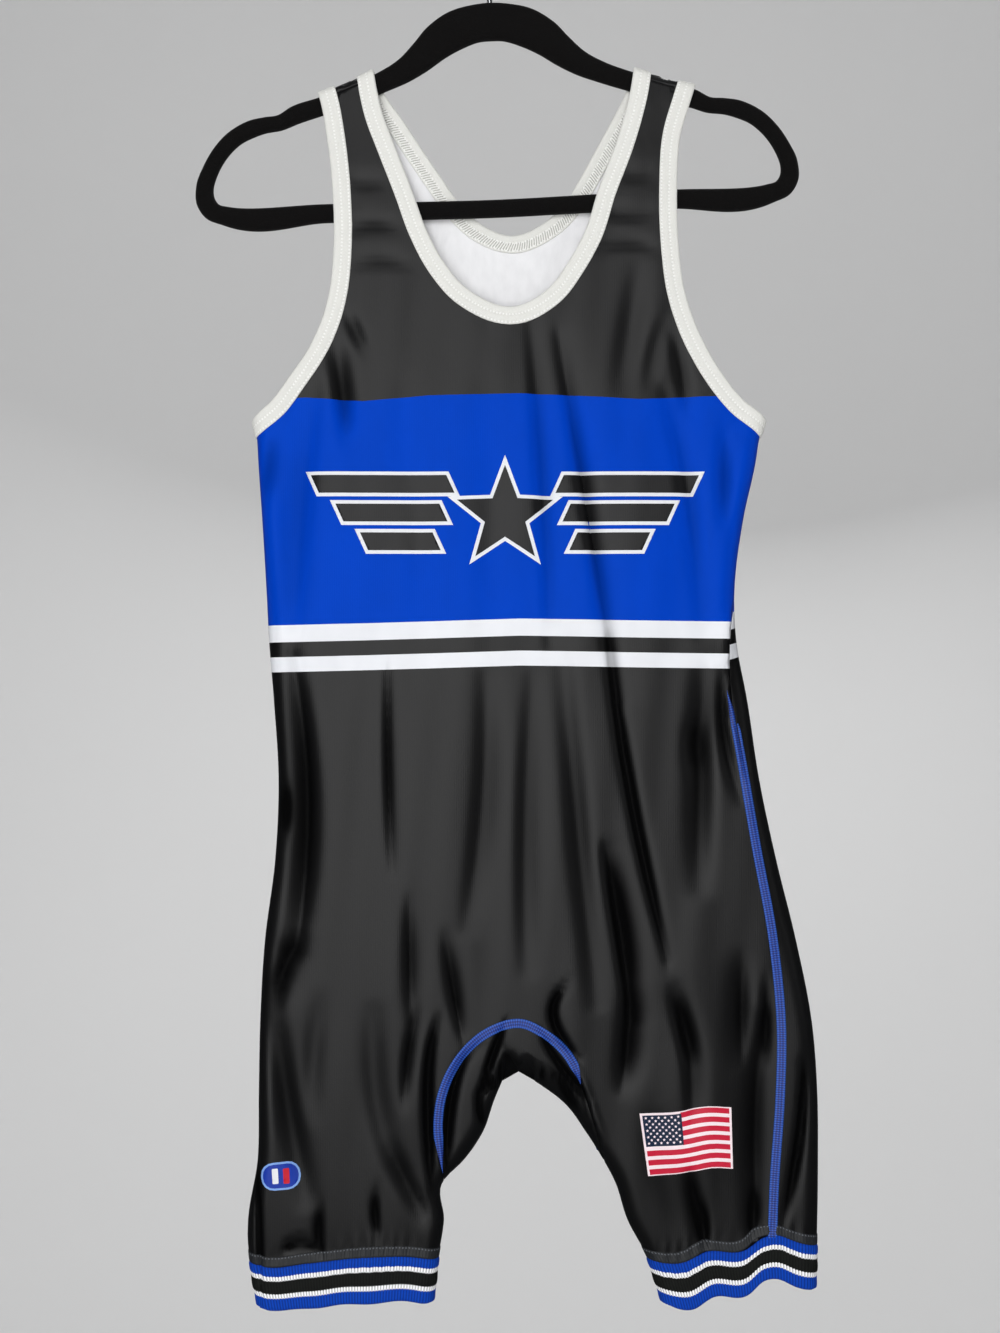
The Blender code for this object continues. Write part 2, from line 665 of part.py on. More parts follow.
def triangulate(layer):
    """Corners and triangles of one layer in (x, drop), cut along its edges, bindings and seams."""
    loop = PATTERN.loop(layer)
    bound = [pair for (_, side), pair in PATTERN.edges.items() if side == layer]
    lines = [np.concatenate([loop, loop[:1]])]
    for pair in PATTERN.seams[layer].values():
        lines += pair
    spare = []
    rounding = SIDE_ROUNDING * half_depth(PIT_DROP)
    for inset in ROUND_INSETS:
        for path, way in ((PATTERN.fold["left"], -1), (PATTERN.fold["right"], 1), (PATTERN.crotch, 1)):
            spare.append(offset_path(path, way * inset * rounding))
    xs = np.arange(loop[:, 0].min(), loop[:, 0].max(), GRID_ACROSS)
    drops = np.arange(loop[:, 1].min(), loop[:, 1].max(), GRID_DOWN)
    grid = np.array([(x + (row % 2) * GRID_ACROSS / 2, drop) for row, drop in enumerate(drops) for x in xs])
    far, _ = nearest_on_paths(grid, PATTERN.side_folds)
    spare.append(grid[far > (ROUND_INSETS[-1] + 0.4) * rounding])
    for side in ("left", "right"):
        for place in PATTERN.between_bindings(side):
            spare.append(place + [(0, inset) for inset in TOP_INSETS])
    spare = np.concatenate(spare)
    spare = spare[inside(spare, loop)]
    for cut, end in bound:
        spare = spare[~inside(spare, np.concatenate([cut, end[::-1]]))]
    apart, _ = nearest_on_paths(spare, lines[1:] + [end for _, end in bound])
    spare = spare[apart > 4.0]
    apart, _ = nearest_on_paths(spare, [lines[0]])
    spare = spare[apart > 0.6]
    points, edges = [], []
    for line in lines:
        first = len(points)
        points.extend(line)
        edges += [(first + k, first + k + 1) for k in range(len(line) - 1)]
    for (name, side), (cut, end) in PATTERN.edges.items():
        if side == layer:
            step = ring_step(name, layer)
            first, count = len(points), len(cut)
            points.extend(cut)
            points.extend(end)
            for k in range(count):
                edges.append((first + k, first + count + k))
                if k + 1 < count:
                    edges.append((first + count + k, first + count + k + 1))
                if 0 <= k + step < count:
                    edges.append((first + k, first + count + k + step))
    points.extend(spare)
    squeezed = [Vector((p[0], p[1] * GRID_ACROSS / GRID_DOWN)) for p in points]
    corners, _, triangles, *_ = delaunay_2d_cdt(squeezed, edges, [], 0, 1e-4)
    corners = np.array(corners) * (1, GRID_DOWN / GRID_ACROSS)
    triangles = np.array(triangles)
    middles = corners[triangles].mean(axis=1)
    keep = inside(middles, loop)
    return corners, triangles[keep], middles[keep]


def ring_step(name, layer):
    """Which way a binding's ring runs along an edge: with its points (1) or against them (-1)."""
    return 1 if (name == "neck") == (layer == FRONT) else -1


def level_with_bindings(corners, points, normals, layer):
    """Puts the corners that lie under a binding onto that binding's own facets."""
    for (name, side), (cut, end) in PATTERN.edges.items():
        if side != layer:
            continue
        count = len(cut)
        flat = np.concatenate([cut, end])
        on_face, face_normals = surface(flat, layer)
        for k in range(count - 1):
            near, far = (k, k + 1) if ring_step(name, layer) == 1 else (k + 1, k)
            for facet in ((near, far, count + far), (near, count + far, count + near)):
                a, b, c = flat[list(facet)]
                sides = np.column_stack([b - a, c - a])
                shares = (corners - a) @ np.linalg.inv(sides).T
                shares = np.column_stack([1 - shares.sum(axis=1), shares])
                under = (shares > -1e-6).all(axis=1)
                points[under] = shares[under] @ on_face[list(facet)]
                normals[under] = shares[under] @ face_normals[list(facet)]
    return points, normals / np.linalg.norm(normals, axis=1)[:, None]


def beside(points, path, far):
    """Which points lie between a seam's cut edge and the far corners given."""
    return inside(points, np.concatenate([path, far]))


def panel_of(layer, middles):
    """The name of the piece that each triangle of a layer belongs to; the slits along seams have none."""
    seams = PATTERN.seams[layer]
    main, other = ("front_panel", "back_panel") if layer == FRONT else ("back_panel", "front_panel")
    name = np.full(len(middles), main, dtype="U16")
    crossing = [(RIGHT_OF_ALL, SIDE_SEAM_CROSSING)]
    if layer == FRONT:
        edges = [(seams["side"][1], seams["side"][0], [(RIGHT_OF_ALL, BELOW_ALL)] + crossing)]
    else:
        edges = [(*seams["left"], [(LEFT_OF_ALL, BELOW_ALL), (LEFT_OF_ALL, ABOVE_SIDES)])]
        edges.append((seams["right"][1], seams["right"][0], crossing + [(RIGHT_OF_ALL, ABOVE_SIDES)]))
        between = [(CROTCH.left, BELOW_ALL), (CROTCH.left, CROTCH.drop)]
        edges.append((*seams["inseam_left"][::-1], between))
        edges.append((*seams["inseam_right"], between))
    for main_edge, strip_edge, far in edges:
        name[beside(middles, main_edge, far)] = ""
        name[beside(middles, strip_edge, far)] = other
    if layer == FRONT:
        for side in ("left", "right"):
            above, below = seams["shoulder_" + side]
            over = [(above[-1][0], 0), (above[0][0], 0)]
            name[beside(middles, below, over)] = ""
            name[beside(middles, above, over)] = "back_panel"
    above, below = seams["gusset"]
    under = [(above[-1][0], BELOW_ALL), (above[0][0], BELOW_ALL)]
    name[beside(middles, above, under)] = ""
    name[beside(middles, below, under)] = "gusset"
    return name


def new_object(name, points, faces, material, smooth=True):
    mesh = bpy.data.meshes.new(name)
    mesh.from_pydata([tuple(p * MM) for p in points], [], [tuple(int(k) for k in f) for f in faces])
    body = bmesh.new()
    body.from_mesh(mesh)
    bmesh.ops.recalc_face_normals(body, faces=body.faces)
    body.to_mesh(mesh)
    body.free()
    mesh.materials.append(material)
    if smooth:
        mesh.shade_smooth()
        mesh.set_sharp_from_angle(angle=math.radians(40))
    thing = bpy.data.objects.new(name, mesh)
    bpy.context.collection.objects.link(thing)
    return thing


def cloth_wall(name, outer, normals, triangles, thick, material):
    """Closes a sheet into a wall: its outer points, the same points moved in, and a rim round each edge."""
    outward = np.cross(outer[triangles[:, 1]] - outer[triangles[:, 0]], outer[triangles[:, 2]] - outer[triangles[:, 0]])
    facing = np.einsum("ij,ij->i", outward, normals[triangles].sum(axis=1)) > 0
    triangles = np.where(facing[:, None], triangles, triangles[:, ::-1])
    count = len(outer)
    faces = [tuple(t) for t in triangles] + [tuple(t[::-1] + count) for t in triangles]
    sides = {}
    for a, b, c in triangles:
        for edge in ((a, b), (b, c), (c, a)):
            sides[edge] = True
    for a, b in sides:
        if (b, a) not in sides:
            faces.append((b, a, a + count))
            faces.append((b, a + count, b + count))
    points = np.concatenate([outer, outer - normals * thick])
    return new_object(name, points, faces, material)


def make_panels(materials):
    """Front panel, back panel and gusset, each cut from both layers and joined at the folds."""
    sheets = {"front_panel": {}, "back_panel": {}, "gusset": {}}
    faces = {name: [] for name in sheets}
    for layer in (FRONT, BACK):
        corners, triangles, middles = triangulate(layer)
        points, normals = level_with_bindings(corners, *surface(corners, layer), layer)
        names = panel_of(layer, middles)
        for name, corners_of in sheets.items():
            for triangle in triangles[names == name]:
                face = []
                for k in triangle:
                    place = tuple(np.round(points[k], 3) + 0.0)
                    face.append(corners_of.setdefault(place, (len(corners_of), points[k], normals[k]))[0])
                if len(set(face)) == 3:
                    faces[name].append(face)
    for name, corners_of in sheets.items():
        rows = sorted(corners_of.values(), key=lambda row: row[0])
        outer = np.array([row[1] for row in rows])
        normals = np.array([row[2] for row in rows])
        cloth_wall(name, outer, normals, np.array(faces[name]), CLOTH_THICK, materials[name])


def ring_of_edges(name, layers):
    """Joins an edge's two layers into one closed ring of stations, sharing the points on the folds."""
    cut, end, normals = [], [], []
    for layer in layers:
        edge, inset = PATTERN.edges[name, layer]
        on_edge, edge_normals = surface(edge, layer)
        on_inset, inset_normals = surface(inset, layer)
        rows = list(zip(on_edge, on_inset, edge_normals, inset_normals))
        for row in rows[::ring_step(name, layer)][:-1]:
            cut.append(row[0])
            end.append(row[1])
            normals.append((row[2], row[3]))
    return np.array(cut), np.array(end), np.array(normals)


def binding(edge_name, layers, name, material):
    """A strip folded over a cut edge: a channel whose legs lie on the cloth's two faces."""
    cut, end, normals = ring_of_edges(edge_name, layers)
    out = cut - end
    out /= np.linalg.norm(out, axis=1)[:, None]
    cut_normal, end_normal = normals[:, 0], normals[:, 1]
    outside = GAP + BINDING_THICK
    inside_leg = CLOTH_THICK + GAP
    section = [
        end + end_normal * outside,
        cut + out * outside + cut_normal * outside,
        cut + out * outside - cut_normal * (CLOTH_THICK + outside),
        end - end_normal * (CLOTH_THICK + outside),
        end - end_normal * inside_leg,
        cut + out * GAP - cut_normal * inside_leg,
        cut + out * GAP + cut_normal * GAP,
        end + end_normal * GAP,
    ]
    return closed_sweep(name, np.stack(section, axis=1), material, flipped=(0, 4))


def closed_sweep(name, stations, material, flipped=()):
    """A closed ring through stations that each hold the same number of section points.

    The section's sides in `flipped` are split into triangles along their other diagonal.
    """
    rings, size = stations.shape[:2]
    faces = []
    for i in range(rings):
        for k in range(size):
            a, b = i * size + k, i * size + (k + 1) % size
            c, d = (i + 1) % rings * size + (k + 1) % size, (i + 1) % rings * size + k
            faces += [(a, b, d), (b, c, d)] if k in flipped else [(a, b, c), (a, c, d)]
    return new_object(name, stations.reshape(-1, 3), faces, material)


def make_bindings(materials):
    for side in ("left", "right"):
        binding("armhole_" + side, (FRONT, BACK), f"armhole_binding_{side}", materials["binding"])
    binding("neck", (FRONT, BACK), "neck_binding", materials["binding"])


def make_cuff(side, material):
    """A rib-knit tube below one hem, with its ribs raised on the outside."""
    hem = PATTERN.hem[side]
    outer_line, inner_line_low = PATTERN.below[side], PATTERN.inner_below[side]
    width = abs(hem[-1][0] - hem[0][0])
    count = 2 * int(round((width + 12) / RIB_PITCH))
    share = across_leg(width, SIDE_ROUNDING * half_depth(HEM_DROP), count)
    stations = []
    for layer, picks in ((FRONT, range(count)), (BACK, range(count, 0, -1))):
        t = share[list(picks)]
        order = np.argsort(hem[:, 0])
        top_x = hem[0][0] + t * (hem[-1][0] - hem[0][0])
        top_drop = np.interp(top_x, hem[order, 0], hem[order, 1]) + HEM_GAP
        top, foot = (
            np.column_stack([
                (1 - t) * np.interp(drop, outer_line[:, 1], outer_line[:, 0])
                + t * np.interp(drop, inner_line_low[:, 1], inner_line_low[:, 0]),
                drop,
            ])
            for drop in (top_drop, top_drop + CUFF_HEIGHT)
        )
        for row_top, row_foot in zip(zip(*surface(top, layer)), zip(*surface(foot, layer))):
            raised = CUFF_PROUD + RIB_HEIGHT * (len(stations) % 2)
            sunk = CUFF_THICK - CUFF_PROUD
            (p, n), (q, m) = row_top, row_foot
            stations.append([p + n * raised, q + m * raised, q - m * sunk, p - n * sunk])
    return closed_sweep(f"cuff_{side}", np.array(stations), material)


def make_hanger(materials):
    """The flocked loop with round edges, and the wire hook in a socket in its neck."""
    round_radius = HANGER_THICK / 2
    half = [((r.out_x, r.out_drop), (r.in_x, r.in_drop)) for r in HANGER]
    mirrored = [((-a, b), (-c, d)) for (a, b), (c, d) in half[-2:0:-1]]
    stations = []
    for outer, inner in half + mirrored:
        outer, inner = np.array(outer), np.array(inner)
        way = unit(outer - inner)
        section = []
        for centre, facing in ((outer - way * round_radius, 1), (inner + way * round_radius, -1)):
            for turn in range(-90, 91, 45):
                angle = math.radians(turn) * facing
                flat = centre + way * facing * round_radius * math.cos(math.radians(turn))
                x, drop = tilt(*flat)
                section.append((x, round_radius * math.sin(angle), -drop))
        stations.append(section)
    body = closed_sweep("hanger_body", np.array(stations), materials["flocking"])
    wire = HOOK_WIRE / 2
    socket_depth = HANGER[0].out_drop + HOOK_SOCKET_DEPTH
    bpy.ops.mesh.primitive_cylinder_add(
        vertices=16, radius=(wire + GAP) * MM, depth=2 * HOOK_SOCKET_DEPTH * MM,
        location=(0, 0, 0))
    cutter = bpy.context.object
    cutter.name = "hook_socket_cutter"
    cx, cdrop = tilt(0, HANGER[0].out_drop)
    cutter.location = (cx * MM, 0, -cdrop * MM)
    cutter.rotation_euler = (0, -HANGER_TILT, 0)
    cutter.hide_render = True
    cutter.display_type = "WIRE"
    cut = body.modifiers.new("hook_socket", "BOOLEAN")
    cut.operation = "DIFFERENCE"
    cut.solver = "EXACT"
    cut.object = cutter
    crown = HOOK_INNER_RADIUS + wire
    centre_drop = HOOK_INNER_RADIUS
    route = [(0, socket_depth - GAP), (0, 62), (0, 54)]
    route += [(-5, 47.5), (-13, 40)]
    route += [(-crown * math.cos(math.radians(a)), centre_drop - crown * math.sin(math.radians(a)))
              for a in range(-40, 216, 15)]
    path = smooth_path(route, 3.5)
    curve = bpy.data.curves.new("hanger_hook", "CURVE")
    curve.dimensions = "3D"
    curve.bevel_depth = wire * MM
    curve.bevel_resolution = 2
    curve.use_fill_caps = True
    spline = curve.splines.new("POLY")
    spline.points.add(len(path) - 1)
    for point, flat in zip(spline.points, path):
        x, drop = tilt(*flat)
        point.co = (x * MM, 0, -drop * MM, 1)
    curve.materials.append(materials["wire"])
    hook = bpy.data.objects.new("hanger_hook", curve)
    bpy.context.collection.objects.link(hook)


def hex_colour(text):
    parts = [int(text[k:k + 2], 16) / 255 for k in (0, 2, 4)]
    return [c / 12.92 if c <= 0.04045 else ((c + 0.055) / 1.055) ** 2.4 for c in parts] + [1]


def make_material(name, colour, roughness, metallic=0.0):
    material = bpy.data.materials.new(name)
    material.use_nodes = True
    shader = material.node_tree.nodes["Principled BSDF"]
    shader.inputs["Base Color"].default_value = hex_colour(colour)
    shader.inputs["Roughness"].default_value = roughness
    shader.inputs["Metallic"].default_value = metallic
    return material


def main():
    for thing in list(bpy.data.objects):
        bpy.data.objects.remove(thing, do_unlink=True)
    materials = {
        "front_panel": make_material("printed_knit_front", "2B2C2E", 0.55),
        "back_panel": make_material("printed_knit_back", "262729", 0.55),
        "gusset": make_material("black_knit_gusset", "232425", 0.55),
        "binding": make_material("white_binding_knit", "E8E8E3", 0.8),
        "cuff": make_material("blue_rib_knit", "1248BE", 0.8),
        "flocking": make_material("black_flocking", "0C0B0B", 0.95),
        "wire": make_material("plated_steel_wire", "B9BABC", 0.25, 1.0),
    }
    make_panels(materials)
    make_bindings(materials)
    for side in ("left", "right"):
        make_cuff(side, materials["cuff"])
    make_hanger(materials)


main()
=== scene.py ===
"""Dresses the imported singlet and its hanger: printed knit, bindings, rib cuffs, sewing and flocking.

Sizes are in millimetres and become metres as each mesh is made. x runs to the
viewer's right and z up, and the front faces -y. A "drop" is a distance straight
down from the hook's crown. Left and right are the viewer's.
"""

import math
from collections import namedtuple

import bmesh
import bpy
import numpy as np
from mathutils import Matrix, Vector
from mathutils.geometry import delaunay_2d_cdt


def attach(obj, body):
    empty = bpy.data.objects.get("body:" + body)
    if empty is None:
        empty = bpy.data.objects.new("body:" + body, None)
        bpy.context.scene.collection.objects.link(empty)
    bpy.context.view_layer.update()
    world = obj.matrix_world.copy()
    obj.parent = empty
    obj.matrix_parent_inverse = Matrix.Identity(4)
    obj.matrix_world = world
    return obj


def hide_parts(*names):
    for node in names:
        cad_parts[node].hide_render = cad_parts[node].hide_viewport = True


MM = 0.001

# Cloth and sewing, as the real garment's
CLOTH_THICK = 0.8
BINDING_THICK = 0.9
BINDING_WIDTH = 13.0
BINDING_OVERHANG = 1.3
STRAP_SEAT = 2.6
GAP = 0.3
HEM_GAP = 0.5
# The back of the right cuff shows below its arch
BACK_CUFF_DIPS = 0.12
ARCH_X = 207.0
SEAM_WIDTH = 6.6
CUFF_HEIGHT = 34.0
# Real ribs are 1.5 mm apart; they are drawn wider, so that they show
RIB_PITCH = 2.2
RIB_HEIGHT = 0.5
STITCH_PITCH = 2.6

# How finely the cloth is meshed
EDGE_STEP = 4.0
FOLD_STEP = 6.0
GRID_ACROSS = 2.2
GRID_DOWN = 5.0
FINE_GRID = 1.5
CROTCH_BOX = (-34, 796, 92, 930)
ROUND_INSETS = (0.03, 0.1, 0.22, 0.38, 0.56, 0.76, 0.98, 1.2)
TOP_INSETS = (0.4, 1.2, 2.4, 4.0, 6.0, 8.5, 11.5)
HEM_FACETS = 60
SEAM_STATION = 4.3

# Hanger
HANGER_TILT = math.radians(2.4)
HANGER_THICK = 6.0
HOOK_WIRE = 3.8
HOOK_INNER_RADIUS = 19.0
HOOK_SOCKET_DEPTH = 18.0

# Half of the garment's depth from front to back, down the garment
DepthRow = namedtuple("DepthRow", "drop half_depth")
DEPTHS = [
    DepthRow(110, 5.7),
    DepthRow(140, 5.8),
    DepthRow(215, 7.2),
    DepthRow(330, 9.0),
    DepthRow(440, 11.0),
    DepthRow(900, 11.5),
    DepthRow(985, 10.5),
    DepthRow(1030, 8.5),
]

# The drops at which the sides' and the cuffs' roundness is worked out
PIT_DROP = 440.0
HEM_DROP = 985.0

# The two sides, where the front turns into the back, from armhole to cuff
SideRow = namedtuple("SideRow", "drop left right")
SIDES = [
    SideRow(374, -171.5, 205.5),
    SideRow(386, -169, 201.5),
    SideRow(402, -168, 199),
    SideRow(446, -165, 189.5),
    SideRow(505, -161.5, 183),
    SideRow(534, -160, 184.5),
    SideRow(578, -156.5, 192.5),
    SideRow(637, -153, 201.5),
    SideRow(696, -155.5, 214),
    SideRow(755, -163, 228.5),
    SideRow(814, -166.5, 240),
    SideRow(866, -167.5, 244),
    SideRow(918, -168.5, 244.5),
    SideRow(962, -175.5, 244),
    SideRow(978, -175.5, 243.5),
    SideRow(990, -174, 243),
    SideRow(1030, -166, 240.5),
]

# The inner edges of the two legs, from the crotch down
LegRow = namedtuple("LegRow", "drop left right")
CROTCH = LegRow(852, 24, 24)
INNER_LEGS = [
    LegRow(859, 12, 36),
    LegRow(872, 6.5, 54),
    LegRow(898, -3, 74.5),
    LegRow(918, -17, 87),
    LegRow(932, -31, 94.5),
    LegRow(962, -31, 104.5),
    LegRow(988, -35, 118.5),
    LegRow(1030, -41, 133),
]

# Finished edges, outside of the bindings
EdgeRow = namedtuple("EdgeRow", "drop left right")
ARMHOLE_FRONT = [
    EdgeRow(140, -121, 149.5),
    EdgeRow(162, -117, 143),
    EdgeRow(201, -112.5, 140),
    EdgeRow(249, -111.5, 141.5),
    EdgeRow(276, -114, 145),
    EdgeRow(298, -119.5, 151.5),
    EdgeRow(322, -130.5, 162.5),
    EdgeRow(343, -145, 175.5),
    EdgeRow(359.5, -157, 189.5),
    EdgeRow(368.5, -166, 200),
]
ARMHOLE_BACK = [
    EdgeRow(140, -117, 146),
    EdgeRow(168, -106, 137),
    EdgeRow(205, -97, 128),
    EdgeRow(250, -94, 125),
    EdgeRow(280, -98, 129),
    EdgeRow(305, -107, 138),
    EdgeRow(328, -122, 152),
    EdgeRow(348, -142, 173),
    EdgeRow(362, -156, 188.5),
    EdgeRow(369.5, -166, 200),
]
NECK_FRONT = [
    EdgeRow(129, -80.5, 106.5),
    EdgeRow(148, -76, 102),
    EdgeRow(168, -68.5, 96),
    EdgeRow(204, -54.5, 82.5),
    EdgeRow(234, -43.5, 73),
    EdgeRow(258, -30.5, 60),
    EdgeRow(276, -15, 46.5),
]
NECK_FRONT_LOW = EdgeRow(290, 20, 20)
NECK_BACK = [
    EdgeRow(129, -76, 103.5),
    EdgeRow(150, -61.5, 93),
    EdgeRow(171, -47.5, 81.5),
    EdgeRow(192, -33, 70),
    EdgeRow(211, -19.5, 58),
    EdgeRow(225, -5, 43),
]
NECK_BACK_LOW = EdgeRow(234.5, 20, 20)
STRAP_OUTER = EdgeRow(126, -123.5, 154)
STRAP_NECK = EdgeRow(113, -83, 109)

# Where the hems meet the sides and the inner legs
HEM_ENDS = {"left": 990, "right": 978, "inner": 988}

# Hems of the legs, where the cuffs are sewn on: up and down along each leg
HemRow = namedtuple("HemRow", "x drop")
HEM_LEFT = [
    HemRow(-174, 990),
    HemRow(-158, 993),
    HemRow(-130, 990),
    HemRow(-84, 985),
    HemRow(-58, 985),
    HemRow(-35, 988),
]
HEM_RIGHT = [
    HemRow(118.5, 988),
    HemRow(143, 989),
    HemRow(163, 981),
    HemRow(190, 980),
    HemRow(203, 971),
    HemRow(213, 969),
    HemRow(228, 974),
    HemRow(243.5, 978),
]

# Seams between the panels
SeamRow = namedtuple("SeamRow", "x drop")
SIDE_SEAM_FRONT = [
    SeamRow(180, 522),
    SeamRow(178.5, 550),
    SeamRow(181.5, 590),
    SeamRow(186.5, 620),
    SeamRow(196.5, 680),
    SeamRow(210, 755),
    SeamRow(216, 820),
    SeamRow(215, 870),
    SeamRow(211, 930),
    SeamRow(209, 985),
]
SIDE_SEAM_CROSSING = 505
SIDE_SEAM_BACK_RIGHT = [SeamRow(191, 400), SeamRow(182, 440), SeamRow(176, 480)]
SIDE_SEAM_BACK_LEFT = [
    SeamRow(-158, 400),
    SeamRow(-152, 446),
    SeamRow(-148, 534),
    SeamRow(-142, 637),
    SeamRow(-150, 755),
    SeamRow(-155, 866),
    SeamRow(-158, 930),
    SeamRow(-158, 1000),
]
SEAM_STATION = 4.3
SHOULDER_SEAM_BELOW = 6.6
GUSSET_FRONT = [
    SeamRow(-33, 912),
    SeamRow(-35, 888),
    SeamRow(-31, 863),
    SeamRow(-16, 836),
    SeamRow(5, 819),
    SeamRow(25, 814),
    SeamRow(43, 822),
    SeamRow(61, 839),
    SeamRow(73, 870),
]
GUSSET_BACK = [
    SeamRow(-33, 908),
    SeamRow(-33, 880),
    SeamRow(-24, 850),
    SeamRow(-3, 826),
    SeamRow(22, 818),
    SeamRow(47, 826),
    SeamRow(66, 848),
    SeamRow(76, 876),
]
GUSSET_ENDS = (SeamRow(-31, 932), SeamRow(87, 918))
INSEAM_LEFT = [SeamRow(-26, 914), SeamRow(-41, 937), SeamRow(-42, 962), SeamRow(-46, 1000)]
INSEAM_RIGHT = [SeamRow(75, 890), SeamRow(96, 915), SeamRow(109, 948), SeamRow(128, 1000)]

# Half of the hanger's loop, from the neck's top round the arm to the bar's middle
HangerRow = namedtuple("HangerRow", "out_x out_drop in_x in_drop")
HANGER = [
    HangerRow(0, 64.2, 0, 92.5),
    HangerRow(16, 65.8, 10, 93.2),
    HangerRow(30, 69.5, 21, 97),
    HangerRow(46.5, 80, 35, 104),
    HangerRow(57, 91.5, 48, 112.5),
    HangerRow(68, 102.5, 61, 119.5),
    HangerRow(84, 112, 79, 126.5),
    HangerRow(104, 120, 99.5, 133.5),
    HangerRow(129, 128.8, 125, 141.8),
    HangerRow(149, 134.5, 144.5, 147.5),
    HangerRow(160, 140.6, 157.5, 152),
    HangerRow(169, 141.5, 168.5, 153.5),
    HangerRow(182, 144, 179.5, 157),
    HangerRow(195.5, 151, 188.5, 161.5),
    HangerRow(207, 162, 198, 170.5),
    HangerRow(216, 176, 205, 181.5),
    HangerRow(222, 191, 209, 193),
    HangerRow(222, 204, 208.5, 200),
    HangerRow(216, 214, 205.5, 204.5),
    HangerRow(203, 220, 198.5, 206.5),
    HangerRow(126, 221.5, 127, 207.5),
    HangerRow(62, 222, 62, 208.7),
    HangerRow(0, 222.8, 0, 209.5),
]

# The rows of the hanger's table that a strap may lie over
ARM_UNDER_STRAP = slice(5, 11)

# Places outside the garment, which close the outline of each piece
LEFT_OF_ALL = -500.0
RIGHT_OF_ALL = 500.0
ABOVE_SIDES = 300.0
BELOW_ALL = 1200.0

FRONT = -1
BACK = 1
SIDE_ROUNDING = 1.1
ON_FOLD = 5e-3

